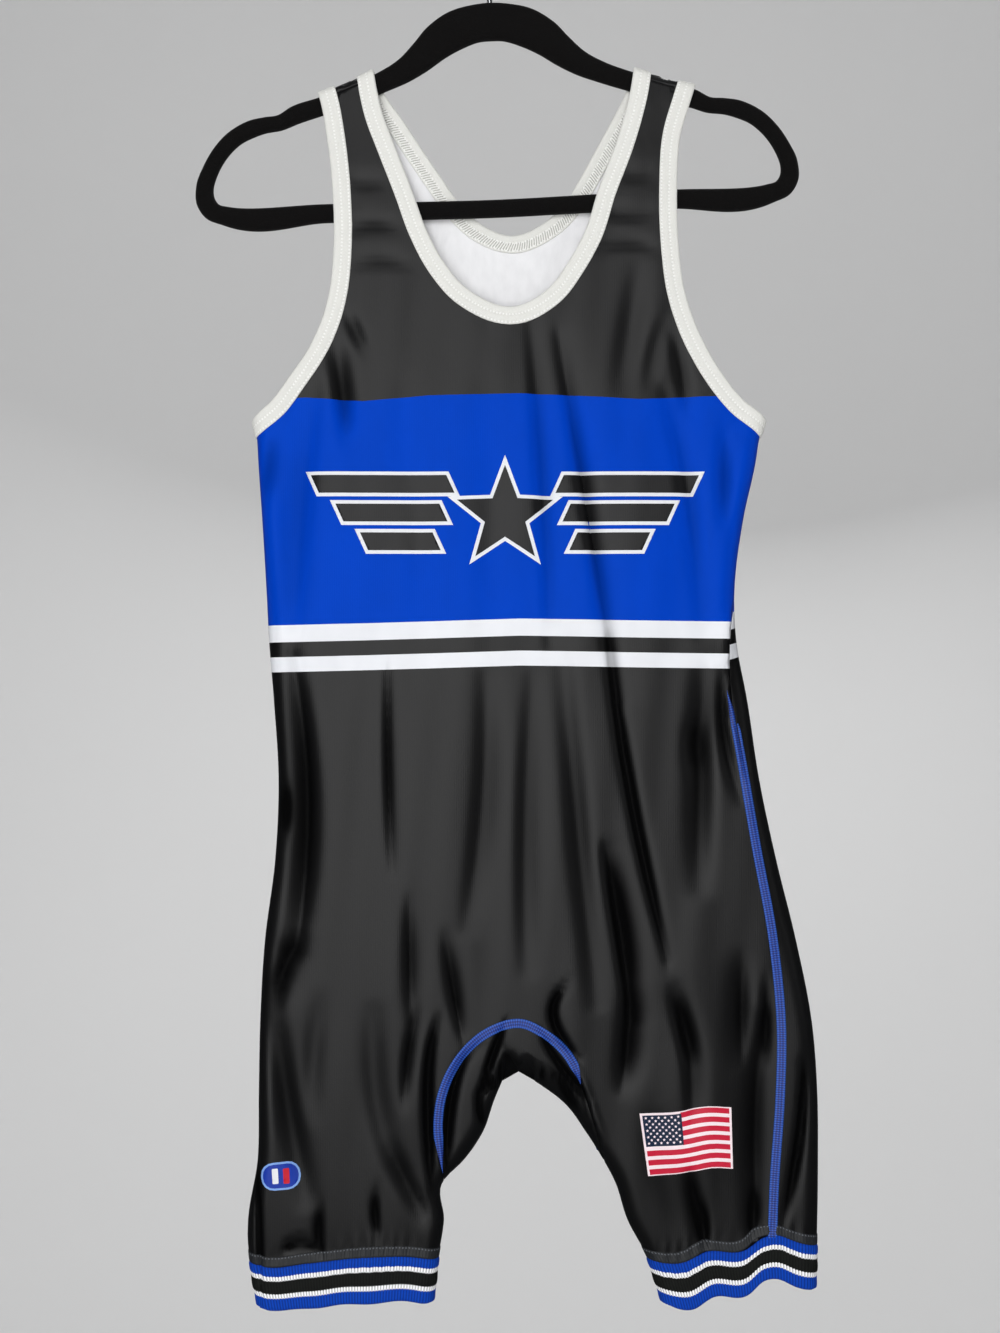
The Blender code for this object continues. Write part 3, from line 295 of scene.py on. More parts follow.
# Folds: soft troughs that run through three points. Left and right are the widths of
# their two slopes as seen along the fold's run, and a small width makes a crisp edge.
FoldRow = namedtuple("FoldRow", "x1 drop1 x2 drop2 x3 drop3 left right depth")
FOLDS_FRONT = [
    # chest
    FoldRow(-102, 295, -96, 307, -90, 321, 5, 5, 2.2),
    FoldRow(-110, 319, -105, 356, -102, 389, 6, 8, 3.8),
    FoldRow(112, 262, 106, 300, 98, 350, 8, 9, 1.8),
    FoldRow(133, 296, 124, 320, 119, 350, 6, 7, 1.6),
    FoldRow(137, 308, 143, 335, 147, 366, 5, 6, 2.2),
    # blue
    FoldRow(-126, 345, -136, 433, -144, 545, 17, 9, 4.0),
    FoldRow(-157, 381, -159, 407, -162, 433, 6, 8, 2.9),
    FoldRow(-60, 345, -52, 432, -46, 512, 12, 14, 1.3),
    FoldRow(2, 344, 3, 417, -1, 505, 12, 12, 1.4),
    FoldRow(33, 300, 42, 428, 47, 540, 5, 8, 2.6),
    FoldRow(53, 312, 74, 440, 97, 577, 4, 9, 4.2),
    FoldRow(131, 350, 148, 425, 158, 530, 6, 9, 2.6),
    FoldRow(175, 381, 175, 415, 175, 449, 6, 6, 2.9),
    # lower
    FoldRow(-142, 545, -130, 651, -139, 762, 16, 6, 8.0),
    FoldRow(-137, 753, -149, 779, -153, 800, 10, 8, 6.5),
    FoldRow(-147, 640, -147, 659, -148, 677, 5, 5, 2.9),
    FoldRow(-72, 549, -72, 624, -69, 700, 2.5, 4, 2.5),
    FoldRow(-56, 725, -56, 768, -55, 811, 4, 7, 3.2),
    FoldRow(-30, 752, -24, 790, -17, 827, 4, 7, 3.8),
    FoldRow(0, 560, -2, 651, -14, 745, 7, 11, 3.0),
    FoldRow(35, 559, 29, 666, 30, 775, 7, 10, 3.0),
    FoldRow(57, 554, 67, 670, 80, 800, 8, 8, 3.4),
    FoldRow(89, 534, 105, 644, 132, 767, 3, 4, 5.2),
    FoldRow(87, 688, 99, 759, 105, 811, 3, 10, 7.8),
    FoldRow(104, 797, 103, 830, 99, 860, 5, 11, 6.4),
    FoldRow(159, 552, 157, 636, 156, 717, 9, 9, 4.9),
    FoldRow(152, 593, 152, 611, 152, 629, 7, 7, 2.2),
    FoldRow(178, 541, 173, 596, 186, 650, 5, 6, 3.8),
    FoldRow(57, 788, 49, 811, 66, 838, 2.5, 3, 4.6),
    FoldRow(138, 794, 145, 818, 151, 841, 6, 6, 3.2),
    FoldRow(187, 768, 187, 805, 187, 841, 8, 6, 4.3),
    FoldRow(205, 783, 205, 812, 205, 841, 4, 4, 2.9),
    # left leg
    FoldRow(-158, 786, -146, 870, -131, 944, 9, 9, 4.4),
    FoldRow(-121, 798, -126, 838, -128, 882, 8, 8, 2.2),
    FoldRow(-82, 806, -78, 880, -60, 926, 8, 10, 2.8),
    FoldRow(-68, 908, -56, 936, -42, 958, 7, 6, 3.0),
    FoldRow(-51, 806, -57, 836, -60, 872, 3, 5, 3.0),
    FoldRow(-36, 814, -43, 860, -40, 935, 2.5, 3.5, 5.2),
    FoldRow(-149, 982, -138, 976, -124, 979, 2.5, 2.5, 3.2),
    FoldRow(-167, 918, -166, 966, -164, 1017, 2, 2, 3.5),
    # right leg
    FoldRow(138, 790, 149, 842, 150, 892, 5, 9, 3.0),
    FoldRow(203, 812, 197, 885, 199, 966, 10, 8, 5.6),
    FoldRow(232, 842, 230, 890, 219, 954, 2.5, 3.5, 5.0),
    FoldRow(148, 918, 153, 944, 159, 974, 7, 5, 4.6),
    FoldRow(124, 885, 133, 922, 142, 962, 12, 12, 2.3),
    # straps
    FoldRow(-103, 233, -83, 229, -64, 231, 4, 5, 1.9),
    FoldRow(-98, 258, -77, 255, -56, 258, 4, 5, 1.6),
    FoldRow(-101, 195, -88, 198, -72, 196, 5, 5, 1.2),
    FoldRow(83, 216, 104, 221, 124, 217, 5, 5, 1.6),
    FoldRow(80, 246, 104, 242, 124, 247, 4, 5, 1.6),
    FoldRow(94, 189, 110, 192, 124, 188, 5, 5, 1.2),
    # gusset
    FoldRow(13, 816, 4, 839, -3, 862, 2, 3, 4.2),
    FoldRow(-3, 862, -5, 876, -2, 890, 2, 3, 3.4),
    FoldRow(-3, 865, 5, 860, 13, 855, 2, 2.5, 4.2),
    FoldRow(24, 846, 38, 851, 51, 852, 3.5, 4, 3.4),
    FoldRow(51, 852, 57, 862, 66, 877, 3.5, 4, 3.2),
    FoldRow(41, 823, 52, 842, 73, 868, 2, 2.2, 4.0),
    FoldRow(14, 835, 18, 844, 23, 851, 4, 4.5, 3.8),
    FoldRow(-8, 832, -24, 862, -29, 922, 3, 4, 4.8),
    FoldRow(-121, 950, -122, 968, -120, 984, 4, 2.5, 3.4),
    FoldRow(-80, 938, -81, 952, -79, 970, 3, 2.5, 3.0),
    FoldRow(159, 950, 160, 964, 160, 980, 4, 2.5, 3.8),
    FoldRow(196, 940, 196, 955, 195, 972, 4, 3, 3.6),
]
FOLDS_BACK = [
    FoldRow(-95, 400, -104, 520, -112, 660, 12, 8, 3.2),
    FoldRow(-40, 300, -38, 420, -46, 560, 12, 12, 2.4),
    FoldRow(20, 330, 24, 470, 18, 620, 9, 12, 2.2),
    FoldRow(84, 310, 78, 430, 90, 560, 10, 12, 2.6),
    FoldRow(140, 400, 136, 540, 150, 690, 8, 13, 3.6),
    FoldRow(-62, 600, -70, 700, -60, 820, 5, 11, 3.4),
    FoldRow(54, 590, 62, 700, 48, 800, 11, 6, 3.0),
    FoldRow(112, 640, 122, 760, 118, 880, 4, 11, 4.4),
    FoldRow(-120, 720, -126, 830, -112, 950, 12, 5, 4.4),
    FoldRow(-66, 850, -74, 905, -62, 968, 9, 9, 3.2),
    FoldRow(180, 740, 190, 850, 178, 960, 10, 5, 4.2),
    FoldRow(-14, 640, -20, 720, -8, 790, 4, 7, 2.4),
    FoldRow(10, 700, 16, 760, 6, 822, 6, 4, 2.2),
    FoldRow(84, 880, 98, 920, 104, 962, 6, 6, 2.2),
    FoldRow(-88, 250, -70, 262, -52, 256, 5, 6, 1.1),
    FoldRow(92, 238, 108, 250, 122, 246, 5, 6, 1.1),
]

# How far the printed borders wander from level, across the front and at two heights
BorderRow = namedtuple("BorderRow", "x blue_top stripes")
BORDERS = [
    BorderRow(-160, 1.2, 3.4),
    BorderRow(-132, 0.0, 2.8),
    BorderRow(-90, 2.9, 1.8),
    BorderRow(-41, -1.5, 0.4),
    BorderRow(25, -2.9, -1.7),
    BorderRow(62, -1.5, -1.2),
    BorderRow(113, 1.4, -0.3),
    BorderRow(160, -0.7, 0.3),
    BorderRow(200, -1.0, 0.8),
]
BLUE_TOP = 355.0
STRIPES = (519.0, 531.6, 542.6, 554.3)
BACK_PRINT_RISE = 6.0
BACK_STRIP_SLANT = 0.28
PATTERN_EDGE = 178.0

# Printed motifs on the front
CHEST_MIDDLE = (14.0, 441.0)
FLAG_CORNERS = ((113.2, 881.0), (178.5, 877.6), (179.8, 920.4), (119.2, 924.8))
LEG_BADGE = (-150.0, 926.0, -0.06)


def hermite(stops, values, at):
    """Cubic through a table's rows, read at the places `at`."""
    stops = np.asarray(stops, float)
    values = np.asarray(values, float)
    slopes = np.gradient(values, stops)
    at = np.clip(at, stops[0], stops[-1])
    row = np.clip(np.searchsorted(stops, at) - 1, 0, len(stops) - 2)
    span = stops[row + 1] - stops[row]
    t = (at - stops[row]) / span
    start = (2 * t**3 - 3 * t**2 + 1) * values[row] + (t**3 - 2 * t**2 + t) * span * slopes[row]
    end = (3 * t**2 - 2 * t**3) * values[row + 1] + (t**3 - t**2) * span * slopes[row + 1]
    return start + end


def half_depth(drops):
    return hermite([r.drop for r in DEPTHS], [r.half_depth for r in DEPTHS], drops)


def run_lengths(path):
    """Distance along a path to each of its points."""
    return np.concatenate([[0.0], np.cumsum(np.linalg.norm(np.diff(path, axis=0), axis=1))])


def smooth_path(points, step):
    """A smooth path through a few points, with a point about every `step`."""
    points = np.asarray(points, float)
    length = run_lengths(points)
    dense = np.linspace(0, length[-1], max(8, 12 * len(points)))
    fine = np.column_stack([hermite(length, points[:, k], dense) for k in range(2)])
    along = run_lengths(fine)
    count = max(2, int(round(along[-1] / step)) + 1)
    even = np.linspace(0, along[-1], count)
    return np.column_stack([np.interp(even, along, fine[:, k]) for k in range(2)])


def rows_path(rows, column):
    return [(getattr(row, column), row.drop) for row in rows]


def nearest_on_paths(points, paths):
    """Distance from each point to the nearest path, and the direction away from it into the cloth.

    Each path runs with the cloth on the right of its direction as seen in (x, drop).
    """
    starts = np.concatenate([path[:-1] for path in paths])
    ends = np.concatenate([path[1:] for path in paths])
    span = ends - starts
    length = np.linalg.norm(span, axis=1)
    inward = np.column_stack([-span[:, 1], span[:, 0]]) / length[:, None]
    best = np.full(len(points), np.inf)
    away = np.zeros((len(points), 2))
    for a, s, n, size in zip(starts, span, inward, length):
        t = np.clip(((points - a) @ s) / size**2, 0, 1)
        apart = points - (a + t[:, None] * s)
        distance = np.linalg.norm(apart, axis=1)
        closer = distance < best - 1e-9
        direction = np.where(distance[:, None] > 0.02, apart / np.maximum(distance, 1e-9)[:, None], n)
        best[closer] = distance[closer]
        away[closer] = direction[closer]
    return best, away


def inside(points, loop):
    """Which points lie inside a closed loop."""
    result = np.zeros(len(points), bool)
    x, y = points[:, 0], points[:, 1]
    for (x1, y1), (x2, y2) in zip(loop, np.roll(loop, -1, axis=0)):
        crosses = (y1 > y) != (y2 > y)
        if y1 != y2:
            result ^= crosses & (x < (x2 - x1) * (y - y1) / (y2 - y1) + x1)
    return result


def tilt(x, drop):
    """A point of the hanger, drawn level, as it hangs: its right side is a little high."""
    c, s = math.cos(HANGER_TILT), math.sin(HANGER_TILT)
    return x * c + drop * s, drop * c - x * s


def offset_path(path, distance):
    """The path moved sideways, to the right of its direction as seen in (x, drop)."""
    run = np.gradient(path, axis=0)
    run /= np.linalg.norm(run, axis=1)[:, None]
    return path + distance * np.column_stack([-run[:, 1], run[:, 0]])


def strap_top(side):
    """The line over which a strap turns, resting on the hanger's arm."""
    sign = -1 if side == "left" else 1
    arm = np.array([tilt(sign * row.out_x, row.out_drop) for row in HANGER[ARM_UNDER_STRAP]])
    arm = arm[np.argsort(arm[:, 0])]
    return offset_path(arm, -STRAP_SEAT)


def along_line(line, x):
    return np.array([x, np.interp(x, line[:, 0], line[:, 1])])


def unit(vector):
    return vector / np.linalg.norm(vector)


def edge_stops(length, pin):
    """Where an edge's points go: close together where it turns over a fold, with a pair at a seam."""
    close = np.array([0, 0.5, 1.9, 4.3, 7.5, 13])
    middle = np.linspace(close[-1], length - close[-1], int((length - 2 * close[-1]) / EDGE_STEP) + 1)
    stops = np.concatenate([close[:-1], middle, length - close[:-1][::-1]])
    if pin:
        stops = stops[np.abs(stops - (length - SEAM_STATION)) > 0.2]
        pair = length - SEAM_STATION + np.array([-GAP / 2, GAP / 2])
        stops = np.sort(np.concatenate([stops, pair]))
    return stops


def bound_edge(points, first_way, last_way, at_corner, pin=False):
    """A cut edge through `points`, and the line where its binding ends.

    The ways are the directions into the cloth at its two ends, each along a fold.
    """
    fine = smooth_path(points, 1.0)
    along = run_lengths(fine)
    stops = edge_stops(along[-1], pin)
    edge = np.column_stack([np.interp(stops, along, fine[:, k]) for k in range(2)])
    across = offset_path(edge, 1.0) - edge
    if across[0] @ first_way < 0:
        across = -across
    near_first = np.clip(1 - stops / 30, 0, 1)[:, None]
    near_last = np.clip(1 - (along[-1] - stops) / 22, 0, 1)[:, None]
    across = across * (1 - near_first) + first_way * near_first
    across = across * (1 - near_last) + last_way * near_last
    across /= np.linalg.norm(across, axis=1)[:, None]
    cut = BINDING_OVERHANG * (1 - near_last) if at_corner else BINDING_OVERHANG
    edge = edge + across * cut
    return edge, edge + across * (BINDING_WIDTH - BINDING_OVERHANG)


def pinned(path, point, apart):
    """The path with two points `apart` to either side of its place nearest to `point`, and those two."""
    along = run_lengths(path)
    dense = np.linspace(0, along[-1], 6000)
    fine = np.column_stack([np.interp(dense, along, path[:, k]) for k in range(2)])
    here = dense[np.argmin(np.linalg.norm(fine - np.array(point), axis=1))]
    stops = np.array([here - apart, here + apart])
    kept = along[(np.abs(along - here) > 3 * apart + 1) | (along == 0) | (along == along[-1])]
    every = np.sort(np.concatenate([kept, stops]))
    path = np.column_stack([np.interp(every, along, path[:, k]) for k in range(2)])
    first = int(np.searchsorted(every, stops[0] - 1e-6))
    return path, path[first], path[first + 1]


def side_line(column, top, bottom):
    """A side's fold line between two drops."""
    drops = np.linspace(top, bottom, max(2, int((bottom - top) / FOLD_STEP) + 1))
    return np.column_stack([hermite([r.drop for r in SIDES], [getattr(r, column) for r in SIDES], drops), drops])


def inner_line(column, bottom):
    """A leg's inner fold line, from under the crotch down."""
    rows = INNER_LEGS
    drops = np.linspace(rows[0].drop, bottom, max(2, int((bottom - rows[0].drop) / (0.6 * FOLD_STEP))))
    return np.column_stack([hermite([r.drop for r in rows], [getattr(r, column) for r in rows], drops), drops])


def seam_pair(points, start, end):
    """The two cut edges of a seam, half a gap either side of its line: (its left, its right)."""
    middle = [tuple(p) for p in points]
    if start is not None:
        middle.insert(0, np.mean(start, axis=0))
    if end is not None:
        middle.append(np.mean(end, axis=0))
    path = smooth_path(middle, EDGE_STEP)
    edges = []
    for pick, way in ((0, -1), (1, 1)):
        edge = offset_path(path, way * GAP / 2)
        if start is not None:
            edge[0] = start[pick]
        if end is not None:
            edge[-1] = end[pick]
        edges.append(edge)
    return edges


def across_leg(width, rounding, count):
    """Places across a flattened leg, evenly spaced along the cloth as it turns over both folds."""
    quarter = rounding * math.pi / 2
    total = width - 2 * rounding + 2 * quarter
    along = np.linspace(0, total, count + 1)
    near = np.minimum(along, total - along)
    x = np.where(near < quarter, rounding * (1 - np.cos(near / rounding)), near - quarter + rounding)
    return np.where(along > total / 2, width - x, x) / width


class Pattern:
    """Every line of the cut, in (x, drop): folds, finished edges, seams and hems."""

    def __init__(self):
        self.fold = {}
        self.below = {}
        for side in ("left", "right"):
            self.fold[side] = side_line(side, SIDES[0].drop, HEM_ENDS[side])
            self.below[side] = side_line(side, HEM_ENDS[side], SIDES[-1].drop)
        inner = {side: inner_line(side, HEM_ENDS["inner"]) for side in ("left", "right")}
        inner_low = {}
        for side in ("left", "right"):
            drops = np.array([HEM_ENDS["inner"], (HEM_ENDS["inner"] + INNER_LEGS[-1].drop) / 2, INNER_LEGS[-1].drop])
            x = hermite([r.drop for r in INNER_LEGS], [getattr(r, side) for r in INNER_LEGS], drops)
            inner_low[side] = np.column_stack([x, drops])
        self.inner_below = inner_low
        crotch = np.concatenate([inner["right"][::-1], [(CROTCH.left, CROTCH.drop)], inner["left"]])
        crotch, *gusset_right = pinned(crotch, GUSSET_ENDS[1], 1.2)
        self.crotch, *gusset_left = pinned(crotch, GUSSET_ENDS[0], 0.4)
        crossing = (hermite([r.drop for r in SIDES], [r.right for r in SIDES], SIDE_SEAM_CROSSING), SIDE_SEAM_CROSSING)
        self.fold["right"], *crossed = pinned(self.fold["right"], crossing, 1.0)
        self.top_line = {side: strap_top(side) for side in ("left", "right")}
        self.edges = {}
        self.binding_ends = {}
        tops, ways = {}, {}
        for side, turn in (("left", 1), ("right", -1)):
            for name, edge_x, way in (("armhole", getattr(STRAP_OUTER, side), turn),
                                      ("neck", getattr(STRAP_NECK, side), -turn)):
                line = self.top_line[side]
                tops[name, side] = along_line(line, edge_x)
                ways[name, side] = unit(along_line(line, edge_x + way * BINDING_WIDTH) - tops[name, side])
        for layer, armhole, neck, low in ((FRONT, ARMHOLE_FRONT, NECK_FRONT, NECK_FRONT_LOW),
                                          (BACK, ARMHOLE_BACK, NECK_BACK, NECK_BACK_LOW)):
            for side in ("left", "right"):
                corner = self.fold[side][0]
                down = unit(self.fold[side][1] - corner)
                points = [tops["armhole", side]] + rows_path(armhole, side) + [corner]
                self.edges["armhole_" + side, layer] = bound_edge(
                    points, ways["armhole", side], down, True, layer == BACK)
            points = [tops["neck", "left"]] + rows_path(neck, "left") + [(low.left, low.drop)]
            points += rows_path(neck[::-1], "right") + [tops["neck", "right"]]
            self.edges["neck", layer] = bound_edge(points, ways["neck", "left"], ways["neck", "right"], False)
            for name, row, side in (("armhole_left", 0, "left"), ("armhole_right", 0, "right"),
                                    ("neck", 0, "left"), ("neck", -1, "right")):
                for path in self.edges[name, layer]:
                    path[row] = along_line(self.top_line[side], path[row][0])
        for side in ("left", "right"):
            self.binding_ends[side] = self.edges["armhole_" + side, FRONT][1][-1]
            fold = self.fold[side]
            keep = np.linalg.norm(fold - fold[0], axis=1) > 1.3 * BINDING_WIDTH
            self.fold[side] = np.concatenate([fold[:1], [self.binding_ends[side]], fold[keep]])
            for layer in (FRONT, BACK):
                self.edges["armhole_" + side, layer][1][-1] = self.binding_ends[side]
        self.hem = {side: self.hem_line(side) for side in ("left", "right")}
        at_seam = {}
        for side in ("left", "right"):
            edge = self.edges["armhole_" + side, BACK][0]
            along = run_lengths(edge)
            pair = int(np.argmin(np.diff(along)))
            at_seam[side] = (edge[pair], edge[pair + 1])
        left_back = seam_pair(SIDE_SEAM_BACK_LEFT, at_seam["left"], None)
        right_back = seam_pair(SIDE_SEAM_BACK_RIGHT, at_seam["right"][::-1], crossed)
        right_front = seam_pair(SIDE_SEAM_FRONT, crossed[::-1], None)
        gusset_front = seam_pair(GUSSET_FRONT, gusset_left[::-1], gusset_right)
        gusset_back = seam_pair(GUSSET_BACK, gusset_left[::-1], gusset_right)
        self.seams = {
            FRONT: {"side": right_front, "gusset": gusset_front},
            BACK: {"left": left_back, "right": right_back, "gusset": gusset_back},
        }
        for side, rows in (("left", INSEAM_LEFT), ("right", INSEAM_RIGHT)):
            self.seams[BACK]["inseam_" + side] = seam_pair(rows, None, None)
        for side in ("left", "right"):
            outer, neck = tops["armhole", side], tops["neck", side]
            apart = 4 * ways["armhole", side]
            line = np.array([outer - apart, outer + 4 * apart, neck - apart, neck + apart])
            if side == "right":
                line = line[::-1]
            self.seams[FRONT]["shoulder_" + side] = [
                offset_path(line, SHOULDER_SEAM_BELOW + way * GAP / 2) for way in (-1, 1)]
        beyond = np.array([72.0, 120.0])
        corner_left, corner_right = self.fold["left"][0], self.fold["right"][0]
        self.side_folds = [
            self.fold["left"][::-1],
            self.below["left"][::-1],
            np.array([corner_left, corner_left - beyond]),
            np.array([corner_right + beyond * (1, -1), corner_right]),
            self.fold["right"],
            self.below["right"],
            self.crotch,
            self.inner_below["right"][::-1],
            self.inner_below["left"],
        ]
        self.top_folds = [self.top_line["left"], self.top_line["right"]]

    def hem_line(self, side):
        """A leg's hem from its outer side to its inner edge."""
        rows = HEM_LEFT if side == "left" else HEM_RIGHT
        outer = self.fold[side][-1]
        inner = self.crotch[-1] if side == "left" else self.crotch[0]
        width = inner[0] - outer[0]
        xs = outer[0] + width * across_leg(abs(width), SIDE_ROUNDING * half_depth(HEM_DROP), HEM_FACETS)
        line = np.column_stack([xs, hermite([r.x for r in rows], [r.drop for r in rows], xs)])
        line[0] = outer
        line[-1] = inner
        return line

    def between_bindings(self, side):
        """Two places on a strap's top line, evenly between its two bindings, from the armhole's."""
        armhole = self.edges["armhole_" + side, FRONT][1][0]
        neck = self.edges["neck", FRONT][1][0 if side == "left" else -1]
        return np.array([along_line(self.top_line[side], armhole[0] + share * (neck[0] - armhole[0]))
                         for share in (1 / 3, 2 / 3)])

    def loop(self, layer):
        """The outline of one layer."""
        armhole = {side: self.edges["armhole_" + side, layer] for side in ("left", "right")}
        neck, neck_end = self.edges["neck", layer]
        return np.concatenate([
            armhole["left"][0][:1], armhole["left"][1][:1], self.between_bindings("left"), neck_end[:1], neck,
            neck_end[-1:], self.between_bindings("right")[::-1], armhole["right"][1][:1], armhole["right"][0],
            self.fold["right"][1:], self.hem["right"][1:-1], self.crotch,
            self.hem["left"][::-1][1:-1], self.fold["left"][::-1], armhole["left"][0][::-1][1:-1],
        ])


PATTERN = Pattern()


def quadratic(row, count):
    """Points along a fold's run: a curve through its three points."""
    t = np.linspace(0, 1, count)[:, None]
    first, middle, last = ((row.x1, row.drop1), (row.x2, row.drop2), (row.x3, row.drop3))
    first, middle, last = np.array(first, float), np.array(middle, float), np.array(last, float)
    return first * (1 - t) * (1 - 2 * t) + middle * 4 * t * (1 - t) + last * t * (2 * t - 1)


CREASED = 1.35
PUSHED_IN_MOST = 0.85
SHADING_WIDTH = 14.0


def fold_troughs(flat, rows, shading=False):
    """How far the folds push the cloth in at each place, or how much painted shade they give it: the narrow ones most.
    """
    total = np.zeros(len(flat))
    for row in rows:
        path = quadratic(row, 9)
        reach = 3 * max(row.left, row.right)
        near = ((flat > path.min(axis=0) - reach) & (flat < path.max(axis=0) + reach)).all(axis=1)
        if not near.any():
            continue
        points = flat[near]
        along = run_lengths(path)
        best = np.full(len(points), np.inf)
        signed = np.zeros(len(points))
        place = np.zeros(len(points))
        for k, (a, b) in enumerate(zip(path[:-1], path[1:])):
            way = (b - a) / (along[k + 1] - along[k])
            run = np.clip((points - a) @ way, 0, along[k + 1] - along[k])
            apart = points - a - run[:, None] * way
            distance = np.linalg.norm(apart, axis=1)
            closer = distance < best
            best[closer] = distance[closer]
            across = apart @ np.array([way[1], -way[0]])
            signed[closer] = across[closer]
            place[closer] = (along[k] + run[closer]) / along[-1]
        width = np.where(signed < 0, row.left, row.right)
        past = np.sqrt(np.maximum(best**2 - signed**2, 0))
        taper = np.sin(math.pi * np.clip(0.06 + 0.88 * place, 0, 1)) ** 0.8
        bend = CREASED if row.depth > 0.28 * (row.left + row.right) else 2.0
        depth = row.depth * (SHADING_WIDTH / (row.left + row.right) if shading else 1)
        total[near] += depth * taper * np.exp(-(np.abs(signed / width) ** bend) - (past / 6) ** 2)
    return total


def ripples(flat, side):
    """Faint streaks down the cloth, as a thin knit has wherever it hangs free."""
    x, drop = flat.T
    way = 1.0 if side == FRONT else -1.0
    return (0.20 * np.sin(x / 5.3 + way * drop / 61 + 1.1) * np.sin(x / 23 + drop / 97)
            + 0.29 * np.sin(x / 8.9 - way * drop / 83 + 0.4) * np.cos(drop / 71 + x / 41)
            + 0.42 * np.sin(x / 17.0 + drop / 131 + 2.0 * way))


def edge_distance(flat, name, side):
    """Distance to where a binding ends, and the length along it."""
    path = PATTERN.edges[name, side][1]
    distance, _ = nearest_on_paths(flat, [path])
    spots = np.argmin(np.linalg.norm(flat[:, None, :] - path[None, ::3, :], axis=2), axis=1)
    return distance, run_lengths(path)[::3][spots]


def puckers(flat, side):
    """Small gathers that the bindings' and the hems' stitches pull into the cloth."""
    x, drop = flat.T
    total = np.zeros(len(flat))
    for name in ("armhole_left", "armhole_right", "neck"):
        path = PATTERN.edges[name, side][1]
        near = ((flat > path.min(axis=0) - 14) & (flat < path.max(axis=0) + 14)).all(axis=1)
        distance, along = edge_distance(flat[near], name, side)
        pull = np.sin(along / 1.55 + 1.2 * np.sin(along / 13)) * (0.6 + 0.4 * np.sin(along / 29))
        total[near] += 0.16 * pull * np.exp(-((distance / 6) ** 2))
    for leg in ("left", "right"):
        distance, _ = nearest_on_paths(flat, [PATTERN.hem[leg]])
        pull = np.sin(x / 1.5 + 1.3 * np.sin(x / 11)) * (0.6 + 0.4 * np.sin(x / 17))
        total += 0.5 * pull * np.exp(-(((distance - 8) / 6) ** 2))
        total -= 0.5 * np.exp(-((distance / 2.5) ** 2))
    return total


def laps(flat):
    """Where the front folds over the seam beside it, and the cloth under it lies lower."""
    total = np.zeros(len(flat))
    for name, first, last, leans in (("side", 500, 640, 1), ("gusset", 848, 925, -1)):
        path = np.mean(PATTERN.seams[FRONT][name], axis=0)
        if name == "gusset":
            path = path[path[:, 0] > 40]
        distance, away = nearest_on_paths(flat, [path])
        run = np.interp(flat[:, 1], np.sort(path[:, 1]), path[np.argsort(path[:, 1]), 0])
        beyond = (flat[:, 0] - run) * leans
        shown = np.clip((flat[:, 1] - first) / 14, 0, 1) * np.clip((last - flat[:, 1]) / 30, 0, 1)
        near = distance < 30
        under = np.clip(beyond / 1.2 + 0.5, 0, 1) * np.exp(-np.maximum(beyond, 0) / 14)
        lip = np.exp(-((beyond + 3) / 3.5) ** 2)
        total += np.where(near, shown * (2.6 * under - 0.9 * lip), 0)
    return total


def folds_at(flat, side, shading=False):
    """How far the folds and laps alone push one layer in, or how much painted shade they give it."""
    if side == FRONT:
        return fold_troughs(flat, FOLDS_FRONT, shading) + laps(flat)
    return fold_troughs(flat, FOLDS_BACK, shading)


def trough(flat, side):
    return folds_at(flat, side) + ripples(flat, side) + puckers(flat, side)


def surface(flat, side):
    """The outer face of one layer's cloth at points (x, drop), and its outward normals."""
    flat = np.asarray(flat, float)
    half = half_depth(flat[:, 1])
    side_inset, side_in = nearest_on_paths(flat, PATTERN.side_folds)
    top_inset, top_in = nearest_on_paths(flat, PATTERN.top_folds)
    side_inset = np.where(side_inset < ON_FOLD, 0, side_inset)
    top_inset = np.where(top_inset < ON_FOLD, 0, top_inset)
    side_left = np.clip(1 - side_inset / (SIDE_ROUNDING * half), 0, 1)
    top_left = np.clip(1 - top_inset / half, 0, 1)
    rounding = np.sqrt((1 - side_left**2) * (1 - top_left**2))
    calm = np.clip(top_inset / 16, 0, 1)
    step = 0.3
    pushed = trough(flat, side) * calm
    by_x = (trough(flat + (step, 0), side) * calm - pushed) / step
    by_drop = (trough(flat + (0, step), side) * calm - pushed) / step
    limit = PUSHED_IN_MOST * half * rounding + 1e-6
    share = np.clip(pushed / limit, -20, 20)
    settle = share / (1 + share**4) ** 0.25
    fade = (1 + share**4) ** -1.25
    keep = 1 - PUSHED_IN_MOST * (settle - share * fade)
    slope = (side_left * (1 - top_left**2) / (SIDE_ROUNDING * half))[:, None] * -side_in
    slope += (top_left * (1 - side_left**2) / half)[:, None] * -top_in
    outward = rounding / half
    points = np.column_stack([flat[:, 0], side * (half * rounding - limit * settle), -flat[:, 1]])
    points[rounding == 0, 1] = 0
    normals = np.column_stack([
        keep * slope[:, 0] + fade * outward * by_x,
        side * outward,
        -(keep * slope[:, 1] + fade * outward * by_drop),
    ])
    return points, normals / np.linalg.norm(normals, axis=1)[:, None]


